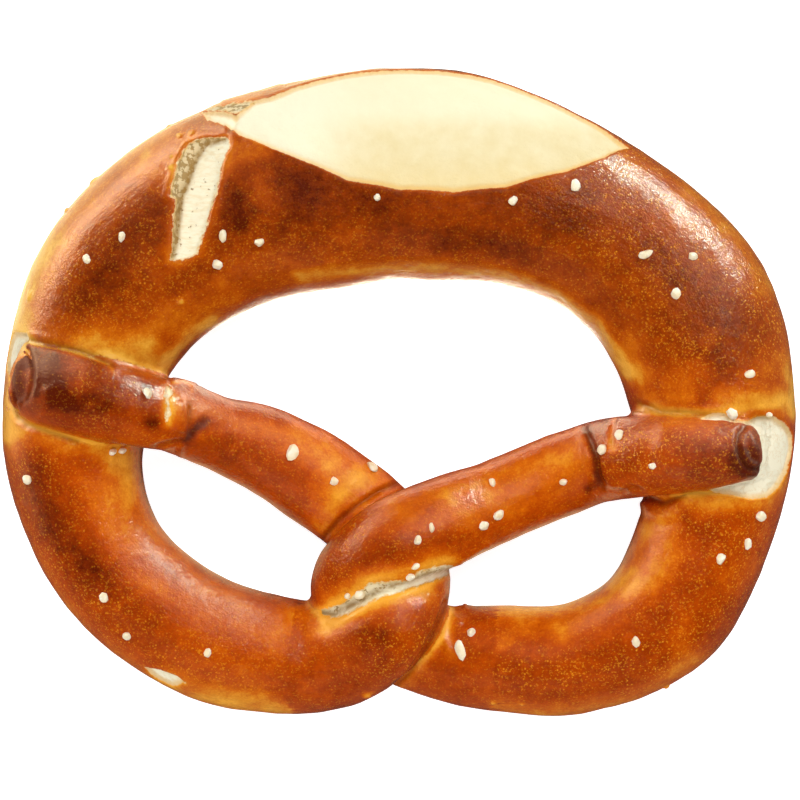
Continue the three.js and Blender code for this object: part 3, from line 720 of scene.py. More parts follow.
# ------------------------------------------------------------------------ fused dough
def wrapped_grid(name, strand):
    """A grid wrapped round a strand and closed at both ends."""
    rows = len(strand.t) - 1
    bpy.ops.object.select_all(action="DESELECT")
    bpy.ops.mesh.primitive_grid_add(x_subdivisions=rows, y_subdivisions=AROUND, size=2)
    obj = bpy.context.object
    obj.name = name
    flat = points_of(obj)
    row = np.rint((flat[:, 0] + 1) / 2 * rows).astype(int)
    angle = -math.pi / 2 + 2 * math.pi * (flat[:, 1] + 1) / 2
    move_points(obj, strand.surface(row, angle) * MM)
    bpy.ops.object.mode_set(mode="EDIT")
    bpy.ops.mesh.select_all(action="SELECT")
    bpy.ops.mesh.remove_doubles(threshold=1e-6)
    bpy.ops.mesh.normals_make_consistent(inside=False)
    bpy.ops.object.mode_set(mode="OBJECT")
    return obj


def fuse(pieces, name):
    """Joins the strands and lets their skins run into each other."""
    whole = join(pieces, name)
    apply_modifier(whole, "REMESH", mode="VOXEL", voxel_size=FIRST_VOXEL * MM)
    apply_modifier(whole, "SMOOTH", factor=0.5, iterations=4)
    apply_modifier(whole, "REMESH", mode="VOXEL", voxel_size=VOXEL * MM)
    apply_modifier(whole, "SMOOTH", factor=0.5, iterations=3)
    return whole


def skin_relief(points, normal, places, fine):
    """How far the skin stands out: lumps, open crust, flakes and creases."""
    plan = points[:, :2]
    move = 0.12 * value_noise(points, 6.0, 1) + 0.06 * value_noise(points, 2.3, 2)
    for outline, depth in OPENED:
        edge = places.opened(outline)
        rise_again = 1 - 0.85 * step(1, 10, edge)
        move += -depth * step(-0.15, 0.55, edge) * rise_again
        move += 0.12 * bell(edge + 0.8, 0.8)
        move += np.where(edge > 0, 0.06 * fine, 0)
        if outline is not SCORE:
            move += 0.22 * value_noise(points, 2.4, 13) * step(0.2, 1.0, edge)
    for x, y, radius, stand in FLAKES:
        gap = flake_distance(points, x, y) + 0.35 * radius * fine
        move += stand * step(radius, 0.6 * radius, gap)
    upper = step(0.0, 0.3, normal[:, 2])
    flank = step(-0.4, -0.1, normal[:, 2])
    for strand, line, depth, wide in CREASES:
        gap, place = line_distance(plan, line)
        ends = step(-0.02, 0.35, place) * step(-0.02, 0.35, len(line) - 1 - place)
        ends = np.maximum(ends, 0.35)
        press = depth * (bell(gap, wide) - 0.25 * bell(gap - 2.1 * wide, wide))
        faces = upper if depth > 0 else flank
        move -= np.where(places.on_strand(strand), press * ends * faces, 0)
    return move


def cut_openings(points, normal, places, fine):
    """Cuts the torn openings and the thin splits, and presses the left arm's end flat."""
    plan = points[:, :2]
    top = points[:, 2] > CUT_ABOVE
    upward = step(-0.1, 0.3, normal[:, 2])
    fibres = value_noise(points * (1.0, 2.0, 1.0), 1.5, 9)
    for outline, valley, depth in ((SLIT, SLIT_VALLEY, SLIT_DEPTH), (CRACK, CRACK_VALLEY, CRACK_DEPTH)):
        edge = inside_distance(plan, outline)
        gap, place = line_distance(plan, valley)
        deep = np.interp(place, np.arange(len(depth)), depth)
        part = np.clip(edge, 0, None) / (np.clip(edge, 0, None) + gap + 1e-6)
        fall = deep * (0.3 * step(0, 0.5, edge) + 0.7 * part**0.9) + 0.14 * fibres * step(0.3, 1.2, edge)
        points[:, 2] -= np.where(top & (edge > 0), fall * upward, 0)
        points += normal * (0.25 * bell(edge + 0.7, 0.7) * top * upward)[:, None]
    edge = np.where(places.on_strand("left"), inside_distance(plan, LEFT_DISC), FAR)
    points -= normal * (DISC_PRESS * step(-0.1, 0.6, edge))[:, None]
    for outline, depth in SPLITS:
        edge = inside_distance(plan, outline)
        points[:, 2] -= np.where(top, (depth + 0.3 * fine) * step(0, 0.5, edge) * upward, 0)


def carve(obj):
    """Presses the score and the creases in and cuts the torn openings."""
    points, normal = points_of(obj) / MM, points_of(obj, "normal")
    places = Places(points)
    fine = value_noise(points, 1.1, 5)
    points += normal * skin_relief(points, normal, places, fine)[:, None]
    cut_openings(points, normal, places, fine)
    move_points(obj, points * MM)


def flatten_base(obj):
    """Settles the dough on the tray with a small rounding at its edge."""
    points = points_of(obj) / MM
    z = points[:, 2]
    rounded = BASE_ROUNDING * np.exp((z - BASE_ROUNDING) / BASE_ROUNDING)
    points[:, 2] = np.where(z < BASE_ROUNDING, rounded, z)
    move_points(obj, points * MM)


# ------------------------------------------------------------------- make the pretzel
skins = [
    wrapped_grid("left_strand", strands["left"].close(True, False)),
    wrapped_grid("ring_strand", strands["ring"].close(False, False)),
    wrapped_grid("right_strand", strands["right"].close(False, True)),
]
pretzel = fuse(skins, "crust")
carve(pretzel)
flatten_base(pretzel)
apply_modifier(pretzel, "SMOOTH", factor=0.5, iterations=1)
triangles = sum(len(p.vertices) - 2 for p in pretzel.data.polygons)
if triangles > TRIANGLES:
    apply_modifier(pretzel, "DECIMATE", ratio=TRIANGLES / triangles)
only(pretzel)
bpy.ops.object.shade_smooth()


def mark(obj, name, values):
    """Writes one value for each point, for the material to read."""
    attribute = obj.data.attributes.new(name, "FLOAT", "POINT")
    attribute.data.foreach_set("value", values.astype(np.float32))


def stroke(places, plan, strand, line, wide):
    """1 on a line of a strand, falling to 0 beside it."""
    gap, _ = line_distance(plan, line)
    return np.where(places.on_strand(strand), bell(gap, wide), 0)


def mark_opened(obj, places):
    """Marks where the crust is gone from the ring, and which of that is peeled."""
    open_edge, peel = np.full(len(places.on), -9.0), np.zeros(len(places.on))
    for outline, _ in OPENED:
        edge = places.opened(outline)
        open_edge = np.maximum(open_edge, edge)
        if outline is not SCORE:
            peel = np.maximum(peel, step(-0.5, 0.3, edge))
    mark(obj, "open_edge", np.clip(open_edge, -9, 9))
    mark(obj, "peel", peel)


def mark_torn(obj, points, normal):
    """Marks the torn openings, their deepest line and the wall that lies in shade, both for painted shade.
    """
    plan = points[:, :2]
    torn_edge, deep, shaded_wall = np.full(len(points), -9.0), np.zeros(len(points)), np.zeros(len(points))
    for outline in (SLIT, CRACK, BEND_SPLIT, FLAP_EDGE):
        edge = inside_distance(plan, outline)
        edge = np.where((points[:, 2] > TORN_ABOVE) & (normal[:, 2] > -0.15), edge, FAR)
        torn_edge = np.maximum(torn_edge, edge)
        if outline is SLIT:
            valley, (x, y) = SLIT_VALLEY, np.transpose(SLIT_VALLEY)
            shaded = step(-0.9, -0.1, np.interp(plan[:, 1], y, x) - plan[:, 0])
        elif outline is CRACK:
            valley, (x, y) = CRACK_VALLEY, np.transpose(CRACK_VALLEY)
            shaded = 0.5 * step(-0.2, 0.4, plan[:, 1] - np.interp(plan[:, 0], x, y))
        else:
            valley, shaded = None, 0.8 * (outline is FLAP_EDGE)
        shaded_wall = np.maximum(shaded_wall, np.where(edge > 0, shaded, 0))
        if valley:
            gap, _ = line_distance(plan, valley)
            deep = np.maximum(deep, np.where(edge > 0, bell(gap, 0.7), 0))
    mark(obj, "torn_edge", np.clip(torn_edge, -9, 9))
    mark(obj, "deep", deep)
    mark(obj, "shaded_wall", shaded_wall)


def mark_browning_and_light(obj, points, normal, places):
    """Marks how brown the crust is, from its strokes and flakes, and evenly underneath; some strokes paint
    reflections, highlights and shade in creases into it.
    """
    plan = points[:, :2]
    brown_and_painted_light = np.where(places.on_strand("ring"), RING_BROWN, RING_BROWN - ARM_PALER)
    patch = value_noise(points, 3.6, 21)
    shown = step(-0.5, 0.0, normal[:, 2])
    for strand, line, wide, change in BROWNING_AND_PAINTED_LIGHT:
        gap, _ = line_distance(plan, line)
        gap = np.maximum(gap + np.minimum(0.45 * wide, 1.6) * patch, 0)
        brown_and_painted_light += np.where(places.on_strand(strand), change * bell(gap, wide) * shown, 0)
    for x, y, radius, _ in FLAKES:
        brown_and_painted_light -= 0.45 * bell(flake_distance(points, x, y), 0.9 * radius)
    under = step(-0.1, -0.7, normal[:, 2])
    mark(obj, "brown_and_painted_light", brown_and_painted_light * (1 - under) + UNDER_BROWN * under)


def mark_crust(obj):
    """Writes where the crust is open, seamed, browned and resting, for the material."""
    points, normal = points_of(obj) / MM, points_of(obj, "normal")
    places, plan = Places(points), points[:, :2]
    mark_opened(obj, places)
    mark_torn(obj, points, normal)
    mark_browning_and_light(obj, points, normal, places)
    flecked = np.full(len(points), PLAIN_FLECKS)
    for strand, line, wide, more in FLECKED:
        flecked += more * stroke(places, plan, strand, line, wide)
    matt = np.zeros(len(points))
    for strand, line, wide, share in MATT:
        matt = np.maximum(matt, share * stroke(places, plan, strand, line, wide))
    # creases pressed deep enough are darkened in the material: painted shade in the creases
    crease_shade = np.zeros(len(points))
    for strand, line, depth, wide in CREASES:
        if depth > 0.35:
            pressed = stroke(places, plan, strand, line, wide) * (normal[:, 2] > 0)
            crease_shade = np.maximum(crease_shade, pressed * min(depth, 1))
    mark(obj, "crease_shade", crease_shade)
    mark(obj, "flecked", np.minimum(flecked, MOST_FLECKS))
    mark(obj, "matt", matt)
    mark(obj, "seam", np.clip(places.seam, 0, 20))
    mark(obj, "along", places.along)
    mark(obj, "round", places.round * places.radius)
    mark(obj, "rest", step(0.9, 0.2, points[:, 2]) * (normal[:, 2] < -0.5))


mark_crust(pretzel)


# --------------------------------------------------------------------------- the salt
def make_grain(rng, size, turn):
    """One faceted grain at the origin, turned about Z, in millimetres."""
    bpy.ops.object.select_all(action="DESELECT")
    bpy.ops.mesh.primitive_ico_sphere_add(subdivisions=2, radius=1)
    grain = bpy.context.object
    p = points_of(grain)
    facets = unit(rng.normal(size=(FACETS, 3)))
    reach = rng.uniform(*FACET_REACH, FACETS)
    push = (p @ facets.T) / reach
    p = p / np.maximum(push.max(1), 1)[:, None]
    p *= np.array(size) / 2 * GRAIN_SWELL
    c, s = math.cos(turn), math.sin(turn)
    return grain, p @ np.array(((c, -s, 0), (s, c, 0), (0, 0, 1))).T


def make_salt(body):
    """The grains, each sunk a little into the crust and tilted as the crust is there."""
    rng = np.random.default_rng(71)
    mesh = body.data
    tree = BVHTree.FromPolygons([v.co for v in mesh.vertices], [p.vertices for p in mesh.polygons])
    grains = []
    for x, y, long, wide, turn in GRAINS:
        hit, normal, _, _ = tree.ray_cast(Vector((x, y, 100)) * MM, Vector((0, 0, -1)))
        if hit is None:
            continue
        grain, p = make_grain(rng, (long, wide, GRAIN_HIGH), math.radians(turn))
        tilt = Vector((0, 0, 1)).rotation_difference(normal).to_matrix()
        centre = hit + normal * GRAIN_HIGH * (0.5 - GRAIN_SUNK) * MM
        move_points(grain, p @ np.array(tilt).T * MM + np.array(centre))
        grains.append(grain)
    salt = join(grains, "salt")
    bpy.ops.object.shade_smooth_by_angle(angle=math.radians(GRAIN_EDGE))
    return salt


salt = make_salt(pretzel)


# ------------------------------------------------------------------------- materials
class Nodes:
    """Short calls for building a material's nodes."""

    def __init__(self, name):
        self.material = bpy.data.materials.new(name)
        self.material.use_nodes = True
        self.tree = self.material.node_tree
        self.shader = self.tree.nodes["Principled BSDF"]

    def add(self, kind, **settings):
        node = self.tree.nodes.new(kind)
        for key, value in settings.items():
            setattr(node, key, value)
        return node

    def put(self, socket, value):
        if isinstance(value, bpy.types.NodeSocket):
            self.tree.links.new(value, socket)
        elif isinstance(value, tuple) and len(value) == 3 and socket.type == "RGBA":
            socket.default_value = (*value, 1)
        else:
            socket.default_value = value

    def read(self, name):
        return self.add("ShaderNodeAttribute", attribute_name=name).outputs["Fac"]

    def math(self, operation, a, b=0.5, c=0.0, clamp=False):
        node = self.add("ShaderNodeMath", operation=operation, use_clamp=clamp)
        for socket, value in zip(node.inputs, (a, b, c)):
            self.put(socket, value)
        return node.outputs[0]

    def plus(self, a, b, clamp=False):
        return self.math("ADD", a, b, clamp=clamp)

    def minus(self, a, b):
        return self.math("SUBTRACT", a, b)

    def times(self, a, b, clamp=False):
        return self.math("MULTIPLY", a, b, clamp=clamp)

    def larger(self, a, b):
        return self.math("MAXIMUM", a, b)

    def uneven(self, pattern, amount):
        """A pattern moved to lie round zero, amount high."""
        return self.times(self.minus(pattern, 0.5), amount)

    def veins(self, pattern, low, high):
        """Thin lines where a pattern passes its middle."""
        return self.ramp(self.math("ABSOLUTE", self.minus(pattern, 0.5)), low, high)

    def ramp(self, value, low, high, to_low=0.0, to_high=1.0):
        node = self.add("ShaderNodeMapRange", interpolation_type="SMOOTHSTEP")
        for socket, v in zip(node.inputs, (value, low, high, to_low, to_high)):
            self.put(socket, v)
        return node.outputs[0]

    def mix(self, share, a, b, blend="MIX"):
        node = self.add("ShaderNodeMix", data_type="RGBA", blend_type=blend)
        self.put(node.inputs["Factor"], share)
        self.put(node.inputs[6], a)
        self.put(node.inputs[7], b)
        return node.outputs[2]

    def mix_value(self, share, a, b):
        node = self.add("ShaderNodeMix", data_type="FLOAT")
        for socket, value in zip(node.inputs[0:1] + node.inputs[2:4], (share, a, b)):
            self.put(socket, value)
        return node.outputs[0]

    def noise(self, where, scale, detail=2.0, rough=0.5, **more):
        node = self.add("ShaderNodeTexNoise", **more)
        self.put(node.inputs["Vector"], where)
        node.inputs["Scale"].default_value = scale
        node.inputs["Detail"].default_value = detail
        node.inputs["Roughness"].default_value = rough
        return node.outputs["Fac"]

    def cells(self, where, scale, **more):
        node = self.add("ShaderNodeTexVoronoi", **more)
        self.put(node.inputs["Vector"], where)
        node.inputs["Scale"].default_value = scale
        return node

    def colours(self, value, stops):
        node = self.add("ShaderNodeValToRGB")
        elements = node.color_ramp.elements
        while len(elements) < len(stops):
            elements.new(0.5)
        for element, (position, colour) in zip(elements, stops):
            element.position = position
            element.color = (*colour, 1)
        self.put(node.inputs[0], value)
        return node.outputs[0]

    def bump(self, height, distance, strength=1.0, normal=None):
        node = self.add("ShaderNodeBump")
        node.inputs["Strength"].default_value = strength
        node.inputs["Distance"].default_value = distance
        self.put(node.inputs["Height"], height)
        if normal is not None:
            self.put(node.inputs["Normal"], normal)
        return node.outputs[0]

    def combine(self, x, y, z):
        node = self.add("ShaderNodeCombineXYZ")
        for socket, value in zip(node.inputs, (x, y, z)):
            self.put(socket, value)
        return node.outputs[0]


# colours of crust and crumb, in linear light; a list runs from one to the next
BROWNED = [
    (0.0, (0.91, 0.46, 0.06)),
    (0.16, (0.76, 0.31, 0.025)),
    (0.34, (0.62, 0.14, 0.003)),
    (0.54, (0.46, 0.067, 0.001)),
    (0.76, (0.28, 0.034, 0.001)),
    (1.0, (0.10, 0.009, 0.001)),
]
BELLY_TINT, LOOP_TINT = (0.98, 1.03, 1.0), (1.09, 0.94, 0.6)
# the second colour here is painted shade, for the pressed creases
FLECK, CREASE_SHADE = (0.86, 0.34, 0.012), (0.09, 0.012, 0.002)
SCORED = [(0.3, (0.84, 0.70, 0.38)), (0.5, (0.87, 0.745, 0.44)), (0.7, (0.90, 0.79, 0.50))]
# the last score colour is painted light, lifting the score's left end
SCORE_INNER, SCORE_OUTER, SCORE_LEFT_PAINTED_LIGHT = (0.86, 0.66, 0.29), (0.96, 0.90, 0.64), (1.0, 0.95, 0.71)
PEELED, PEEL_CRACK = (1.0, 0.92, 0.69), (0.85, 0.62, 0.30)
# the third colour is painted shade, for the wall of a tear that faces away from the light
TORN, TORN_FIBRE, TORN_WALL_SHADE = (1.0, 0.93, 0.69), (0.84, 0.64, 0.30), (0.70, 0.51, 0.24)
# the first two colours are painted shade: in the crumb's pores and along a tear's deepest line
PORE_SHADE, DEEP_SHADE, RIM = (0.36, 0.21, 0.06), (0.34, 0.19, 0.05), (0.82, 0.44, 0.07)
BASE = [(0.34, (0.27, 0.085, 0.014)), (0.48, (0.43, 0.17, 0.035)), (0.62, (0.60, 0.31, 0.09))]


class CrustNodes(Nodes):
    """The crust's nodes, with the marks and patterns that colour, shine and relief share."""

    def __init__(self):
        super().__init__("lye_crust")
        self.place = self.add("ShaderNodeTexCoord").outputs["Object"]
        self.axes = self.add("ShaderNodeSeparateXYZ")
        self.put(self.axes.inputs[0], self.place)
        self.along, self.around = self.read("along"), self.read("round")
        self.rest, self.crease_shade = self.read("rest"), self.read("crease_shade")
        self.peeled, self.shaded_wall = self.read("peel"), self.read("shaded_wall")
        self.broad = self.noise(self.place, 130, 2.0)
        self.patchy = self.noise(self.place, 480, 4.0, 0.62)
        # where the crust is open, with a slightly ragged edge, frayed where it is torn
        ragged = self.uneven(self.noise(self.place, 1100, 3.0, 0.6), 0.4)
        frayed = self.uneven(self.noise(self.place, 520, 4.0, 0.65), 2.0)
        self.open_edge = self.plus(self.read("open_edge"), ragged)
        self.torn_edge = self.plus(self.plus(self.read("torn_edge"), ragged), frayed)
        self.crumb = self.larger(self.ramp(self.open_edge, -0.1, 0.1), self.ramp(self.torn_edge, -0.1, 0.1))
        self.torn = self.ramp(self.torn_edge, -0.1, 0.3)
        # what the crumb shows: cracks where it is peeled, fibres and pores where it is torn
        self.cracks = self.veins(self.noise(self.place, 420, 4.0, 0.65), 0.03, 0.0)
        turned = self.add("ShaderNodeMapping")
        self.put(turned.inputs["Vector"], self.place)
        turned.inputs["Rotation"].default_value = (0, 0, 0.6)
        turned.inputs["Scale"].default_value = (0.35, 1.3, 0.5)
        self.fibres = self.noise(turned.outputs[0], 1300, 3.0, 0.6)
        pores = self.plus(self.noise(self.place, 900, 3.0, 0.6), self.times(self.shaded_wall, 0.19))
        self.pores = self.times(self.ramp(pores, 0.64, 0.72), self.times(self.torn, 0.85))

    def browning_and_light(self):
        """The strokes, with the painted light and shade that some carry, mottled from broad to fine, and
        paler at seams and openings.
        """
        brown_and_painted_light = self.read("brown_and_painted_light")
        grainy = self.noise(self.place, 2200, 2.0)
        for pattern, amount in ((self.broad, 0.34), (self.patchy, 0.46), (grainy, 0.24)):
            brown_and_painted_light = self.plus(brown_and_painted_light, self.uneven(pattern, amount))
        near_open = self.larger(self.ramp(self.open_edge, -0.5, 0.0), self.ramp(self.torn_edge, -2.2, 0.0))
        brown_and_painted_light = self.minus(brown_and_painted_light, self.times(self.ramp(self.read("seam"), 2.4, 0.2), 0.3))
        return self.minus(brown_and_painted_light, self.times(self.times(near_open, self.patchy), 0.45))

    def spots(self, brown_and_painted_light):
        """Light flecks like short threads, with small blisters and finer bits."""
        flecks = self.veins(self.noise(self.place, 1500, 2.0), 0.1, 0.02)
        flecks = self.times(flecks, self.ramp(self.noise(self.place, 1900, 2.0), 0.53, 0.63))
        flecks = self.times(flecks, self.ramp(self.noise(self.place, 160, 3.0, 0.6), 0.38, 0.58, 0.25, 1.0))
        cells = self.cells(self.place, 1250)
        blisters = self.ramp(cells.outputs["Distance"], 0.33, 0.14)
        blisters = self.times(blisters, self.ramp(self.noise(self.place, 300, 3.0), 0.4, 0.56))
        blisters = self.times(blisters, self.ramp(cells.outputs["Color"], 0.5, 0.6))
        cells = self.cells(self.place, 1500)
        bits = self.ramp(cells.outputs["Distance"], 0.36, 0.12)
        bits = self.times(bits, self.ramp(cells.outputs["Color"], 0.35, 0.7))
        spots = self.larger(self.times(flecks, 0.8), self.larger(blisters, self.times(bits, 0.5)))
        share = self.times(self.read("flecked"), self.ramp(brown_and_painted_light, 1.0, 0.6, 0.4, 1.0))
        return self.times(spots, share, clamp=True)

    def crust(self, brown_and_painted_light, spots):
        """The browned skin; the thin loops bake a warmer orange than the thick belly."""
        crust = self.colours(self.plus(brown_and_painted_light, 0.0, clamp=True), BROWNED)
        tint = self.mix(self.ramp(self.axes.outputs["Y"], 0.016, -0.012), BELLY_TINT, LOOP_TINT)
        crust = self.mix(spots, self.mix(1.0, crust, tint, "MULTIPLY"), FLECK)
        # pressed creases darkened towards near black: painted shade
        return self.mix(self.times(self.crease_shade, 0.8), crust, CREASE_SHADE)

    def inside(self):
        """The crumb: cream in the score, whiter where the crust is peeled or torn. A tear's shaded wall, its
        deepest line and the pores carry painted shade; the score's left end carries painted light.
        """
        x, y = self.axes.outputs["X"], self.axes.outputs["Y"]
        pale = self.colours(self.noise(self.place, 260, 4.0, 0.6), SCORED)
        pale = self.mix(self.times(self.ramp(y, 0.05, 0.04), 0.5), pale, SCORE_INNER)
        pale = self.mix(self.times(self.ramp(y, 0.05, 0.057), 0.8), pale, SCORE_OUTER)
        # the score's left end made paler: painted light
        pale = self.mix(self.times(self.ramp(x, -0.004, -0.022), 0.8), pale, SCORE_LEFT_PAINTED_LIGHT)
        pale = self.mix(self.peeled, pale, self.mix(self.times(self.cracks, 0.4), PEELED, PEEL_CRACK))
        pale = self.mix(self.torn, pale, TORN)
        pale = self.mix(self.times(self.torn, self.ramp(self.fibres, 0.6, 0.3, 0.0, 0.4)), pale, TORN_FIBRE)
        # the shaded wall of a tear is darkened: painted shade
        pale = self.mix(self.times(self.times(self.shaded_wall, self.torn), 0.7), pale, TORN_WALL_SHADE)
        # dark pores: painted shade in the pore hollows
        pale = self.mix(self.pores, pale, PORE_SHADE)
        rim = self.times(self.ramp(self.open_edge, 1.3, 0.0), self.ramp(self.open_edge, -0.2, 0.0))
        torn_rim = self.times(self.ramp(self.torn_edge, 0.5, 0.0), self.ramp(self.torn_edge, -0.2, 0.0))
        pale = self.mix(self.times(self.larger(rim, torn_rim), 0.65), pale, RIM)
        # the deepest line of a tear is darkened: painted shade
        deep = self.times(self.read("deep"), self.ramp(self.patchy, 0.35, 0.6, 0.45, 0.9))
        return self.mix(deep, pale, DEEP_SHADE)

    def shine(self):
        """Glossy crust, dulled where it is open, pressed into a crease, matt or resting on the tray."""
        sockets = self.shader.inputs
        open_or_rest = self.plus(self.crumb, self.rest)
        gloss = self.plus(self.times(self.patchy, 0.15), 0.11)
        matt = self.plus(open_or_rest, self.read("matt"), clamp=True)
        self.put(sockets["Roughness"], self.mix_value(matt, gloss, 0.95))
        dull = self.plus(open_or_rest, self.crease_shade)
        self.put(sockets["Coat Weight"], self.ramp(dull, 0.0, 0.8, 0.06, 0.0))
        sockets["Coat Roughness"].default_value = 0.36
        sockets["Specular IOR Level"].default_value = 0.5
        sockets["Specular Tint"].default_value = (1.0, 0.86, 0.64, 1)

    def relief(self, spots):
        """Broad dimples, wrinkles along the rope and raised spots, and pits in the crumb."""
        dimples = self.noise(self.combine(self.along, self.around, 0.0), 0.5, 2.0)
        stretched = self.combine(self.times(self.along, 0.5), self.times(self.around, 1.3), 0.0)
        wrinkles = self.noise(stretched, 1.1, 3.0, 0.6)
        height = self.plus(self.times(dimples, 0.8), self.times(wrinkles, 0.4))
        skin = self.bump(self.plus(height, self.times(spots, 0.2)), 0.0005, 0.5)
        pits = self.noise(self.place, 2600, 3.0, 0.6)
        pits = self.minus(pits, self.times(self.times(self.pores, self.crumb), 1.5))
        rough_crumb = self.larger(self.torn, self.times(self.peeled, self.crumb))
        pits = self.plus(pits, self.times(self.times(self.fibres, rough_crumb), 1.6))
        pits = self.minus(pits, self.times(self.times(self.cracks, self.peeled), 1.2))
        return self.bump(pits, 0.00018, 0.5, skin)


def crust_material():
    n = CrustNodes()
    brown_and_painted_light = n.browning_and_light()
    spots = n.spots(brown_and_painted_light)
    colour = n.mix(n.crumb, n.crust(brown_and_painted_light, spots), n.inside())
    base = n.colours(n.plus(n.times(n.patchy, 0.6), n.times(n.broad, 0.4)), BASE)
    n.put(n.shader.inputs["Base Color"], n.mix(n.rest, colour, base))
    n.shine()
    n.put(n.shader.inputs["Normal"], n.relief(spots))
    return n.material


def salt_material():
    n = Nodes("coarse_salt")
    place = n.add("ShaderNodeTexCoord").outputs["Object"]
    shade = n.colours(n.noise(place, 700, 3.0), [(0.3, (0.92, 0.74, 0.43)), (0.7, (1.0, 0.93, 0.74))])
    n.put(n.shader.inputs["Base Color"], shade)
    n.put(n.shader.inputs["Roughness"], n.plus(n.times(n.noise(place, 1500), 0.3), 0.3))
    n.put(n.shader.inputs["Normal"], n.bump(n.noise(place, 2500, 3.0), 0.0002, 0.7))
    return n.material


for piece, material in ((pretzel, crust_material()), (salt, salt_material())):
    piece.data.materials.clear()
    piece.data.materials.append(material)

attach(pretzel, "root")
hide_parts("pretzel")
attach(salt, "root")


# --------------------------------------------------------------- floor, light, camera
# places on the table in metres: the big opening's middle and half size, the small openings
BIG_HOLE, BIG_HOLE_HALF = (0.004, 0.013), (0.045, 0.017)
SMALL_HOLES = ((-0.033, -0.024), (0.028, -0.035))
PAPER, PAPER_MIRRORED = (0.86, 0.86, 0.86), (0.12, 0.11, 0.10)


def make_floor():
    """A white table. It stays white in view; mirrored in the crust it is dark, and it glows only
    in the holes and past the pretzel on the window's side, as a painted reflection on the crust's rims."""
    bpy.ops.object.select_all(action="DESELECT")
    bpy.ops.mesh.primitive_plane_add(size=6, location=(0, 0, -0.0001))
    floor = bpy.context.object
    floor.name = "floor"
    n = Nodes("white_table")
    path = n.add("ShaderNodeLightPath")
    seen, mirrored = path.outputs["Is Camera Ray"], path.outputs["Is Glossy Ray"]
    place = n.add("ShaderNodeSeparateXYZ")
    n.put(place.inputs[0], n.add("ShaderNodeTexCoord").outputs["Object"])
    x, y = place.outputs["X"], place.outputs["Y"]
    small_holes = 0.0
    for hole in SMALL_HOLES:
        middle = n.add("ShaderNodeVectorMath", operation="DISTANCE")
        n.put(middle.inputs[0], n.combine(x, y, 0.0))
        middle.inputs[1].default_value = (*hole, 0)
        small_holes = n.larger(n.ramp(middle.outputs["Value"], 0.018, 0.01), small_holes)
    across, deep = (n.math("DIVIDE", n.minus(a, m), h) for a, m, h in zip((x, y), BIG_HOLE, BIG_HOLE_HALF))
    from_hole = n.math("SQRT", n.plus(n.times(across, across), n.times(deep, deep)))
    in_hole = n.times(n.ramp(from_hole, 1.1, 0.8), n.ramp(y, 0.006, 0.017, 0.3, 8.0))
    to_window = n.minus(n.times(y, 0.8), n.times(x, 0.6))
    near_window = n.times(n.ramp(to_window, 0.050, 0.068), 2.3)
    # glow seen only in mirrored rays: a painted reflection, not a lamp
    painted_glow = n.times(n.larger(near_window, n.larger(in_hole, small_holes)), mirrored)
    n.put(n.shader.inputs["Base Color"], n.mix(mirrored, PAPER, PAPER_MIRRORED))
    n.shader.inputs["Roughness"].default_value = 1.0
    n.shader.inputs["Specular IOR Level"].default_value = 0.0
    painted_glow_colour = n.mix(n.ramp(from_hole, 1.3, 1.1), (1.0, 0.8, 0.44), (1.0, 0.88, 0.68))
    n.put(n.shader.inputs["Emission Color"], n.mix(mirrored, (1.0, 1.0, 1.0), painted_glow_colour))
    n.put(n.shader.inputs["Emission Strength"], n.plus(n.times(seen, 0.9), painted_glow))
    floor.data.materials.append(n.material)


def softbox(name, azimuth, height, distance, size, power, gloss=True, diffuse=True, colour=(1, 1, 1)):
    """A rectangular lamp aimed at the pretzel, from an azimuth (0 is +X, 90 is +Y) and a
    height above the table in degrees. Without gloss it lights but isn't mirrored, and
    without diffuse it is only mirrored."""
    a, h = math.radians(azimuth), math.radians(height)
    place = Vector((math.cos(a) * math.cos(h), math.sin(a) * math.cos(h), math.sin(h))) * distance
    data = bpy.data.lights.new(name, "AREA")
    data.shape = "RECTANGLE"
    data.size, data.size_y = size
    data.energy = power
    data.color = colour
    lamp = bpy.data.objects.new(name, data)
    bpy.context.scene.collection.objects.link(lamp)
    lamp.location = place
    lamp.rotation_euler = (Vector((0, 0, 0.01)) - place).to_track_quat("-Z", "Y").to_euler()
    lamp.visible_glossy = gloss
    lamp.visible_diffuse = diffuse


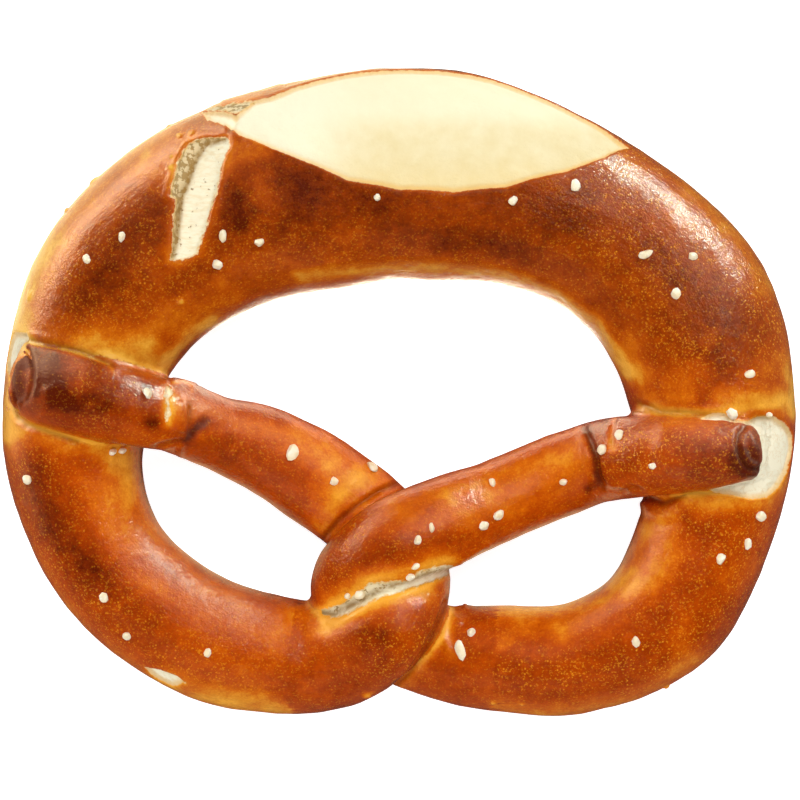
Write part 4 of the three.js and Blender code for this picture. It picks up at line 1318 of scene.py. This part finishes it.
def make_light():
    """Soft daylight, with narrow lamps that only the crust mirrors."""
    world = bpy.data.worlds.new("studio")
    world.use_nodes = True
    background = world.node_tree.nodes["Background"].inputs
    background["Color"].default_value = (1, 1, 1, 1)
    background["Strength"].default_value = 0.01
    bpy.context.scene.world = world
    softbox("key", 48, 36, 0.9, (0.4, 0.28), 3.4, gloss=False)
    softbox("key_shine", 48, 13, 0.9, (0.22, 0.07), 12.5, diffuse=False, colour=(0.62, 0.95, 1.0))
    softbox("key_halo", 48, 19, 0.92, (0.32, 0.16), 2.0, diffuse=False, colour=(1.0, 0.66, 0.32))
    softbox("top_shine", 32, 58, 0.9, (0.1, 0.05), 1.1, diffuse=False, colour=(0.85, 0.95, 1.0))
    softbox("low_panel", 140, 7, 0.5, (0.6, 0.13), 3.7, diffuse=False, colour=(0.88, 0.92, 0.8))
    softbox("low_halo", 140, 13, 0.52, (0.6, 0.16), 1.1, diffuse=False, colour=(1.0, 0.72, 0.38))
    softbox("high_panel", 140, 22, 0.5, (0.6, 0.2), 0.2, diffuse=False, colour=(1.0, 0.85, 0.6))
    softbox("left_fill", 135, 40, 1.0, (0.6, 0.4), 1.8, gloss=False)
    softbox("left_side", 185, 20, 1.0, (0.6, 0.3), 1.5, gloss=False)
    softbox("right_side", 0, 20, 1.0, (0.6, 0.3), 1.2, gloss=False)
    softbox("overhead", 80, 72, 1.2, (0.8, 0.8), 6.7, gloss=False)
    softbox("front_fill", 255, 34, 1.0, (0.8, 0.5), 5.4, gloss=False)


def make_camera():
    """Straight above, with the pretzel's width filling the picture."""
    distance, across, middle_y, middle_height = 1.5, 0.162, -0.0019, 0.012
    data = bpy.data.cameras.new("camera")
    data.sensor_width = 36
    data.lens = data.sensor_width * distance / across
    data.clip_end = 20
    camera = bpy.data.objects.new("camera", data)
    bpy.context.scene.collection.objects.link(camera)
    camera.location = (0, middle_y, middle_height + distance)
    bpy.context.scene.camera = camera


make_floor()
make_light()
make_camera()
bpy.context.scene.view_settings.view_transform = "Standard"
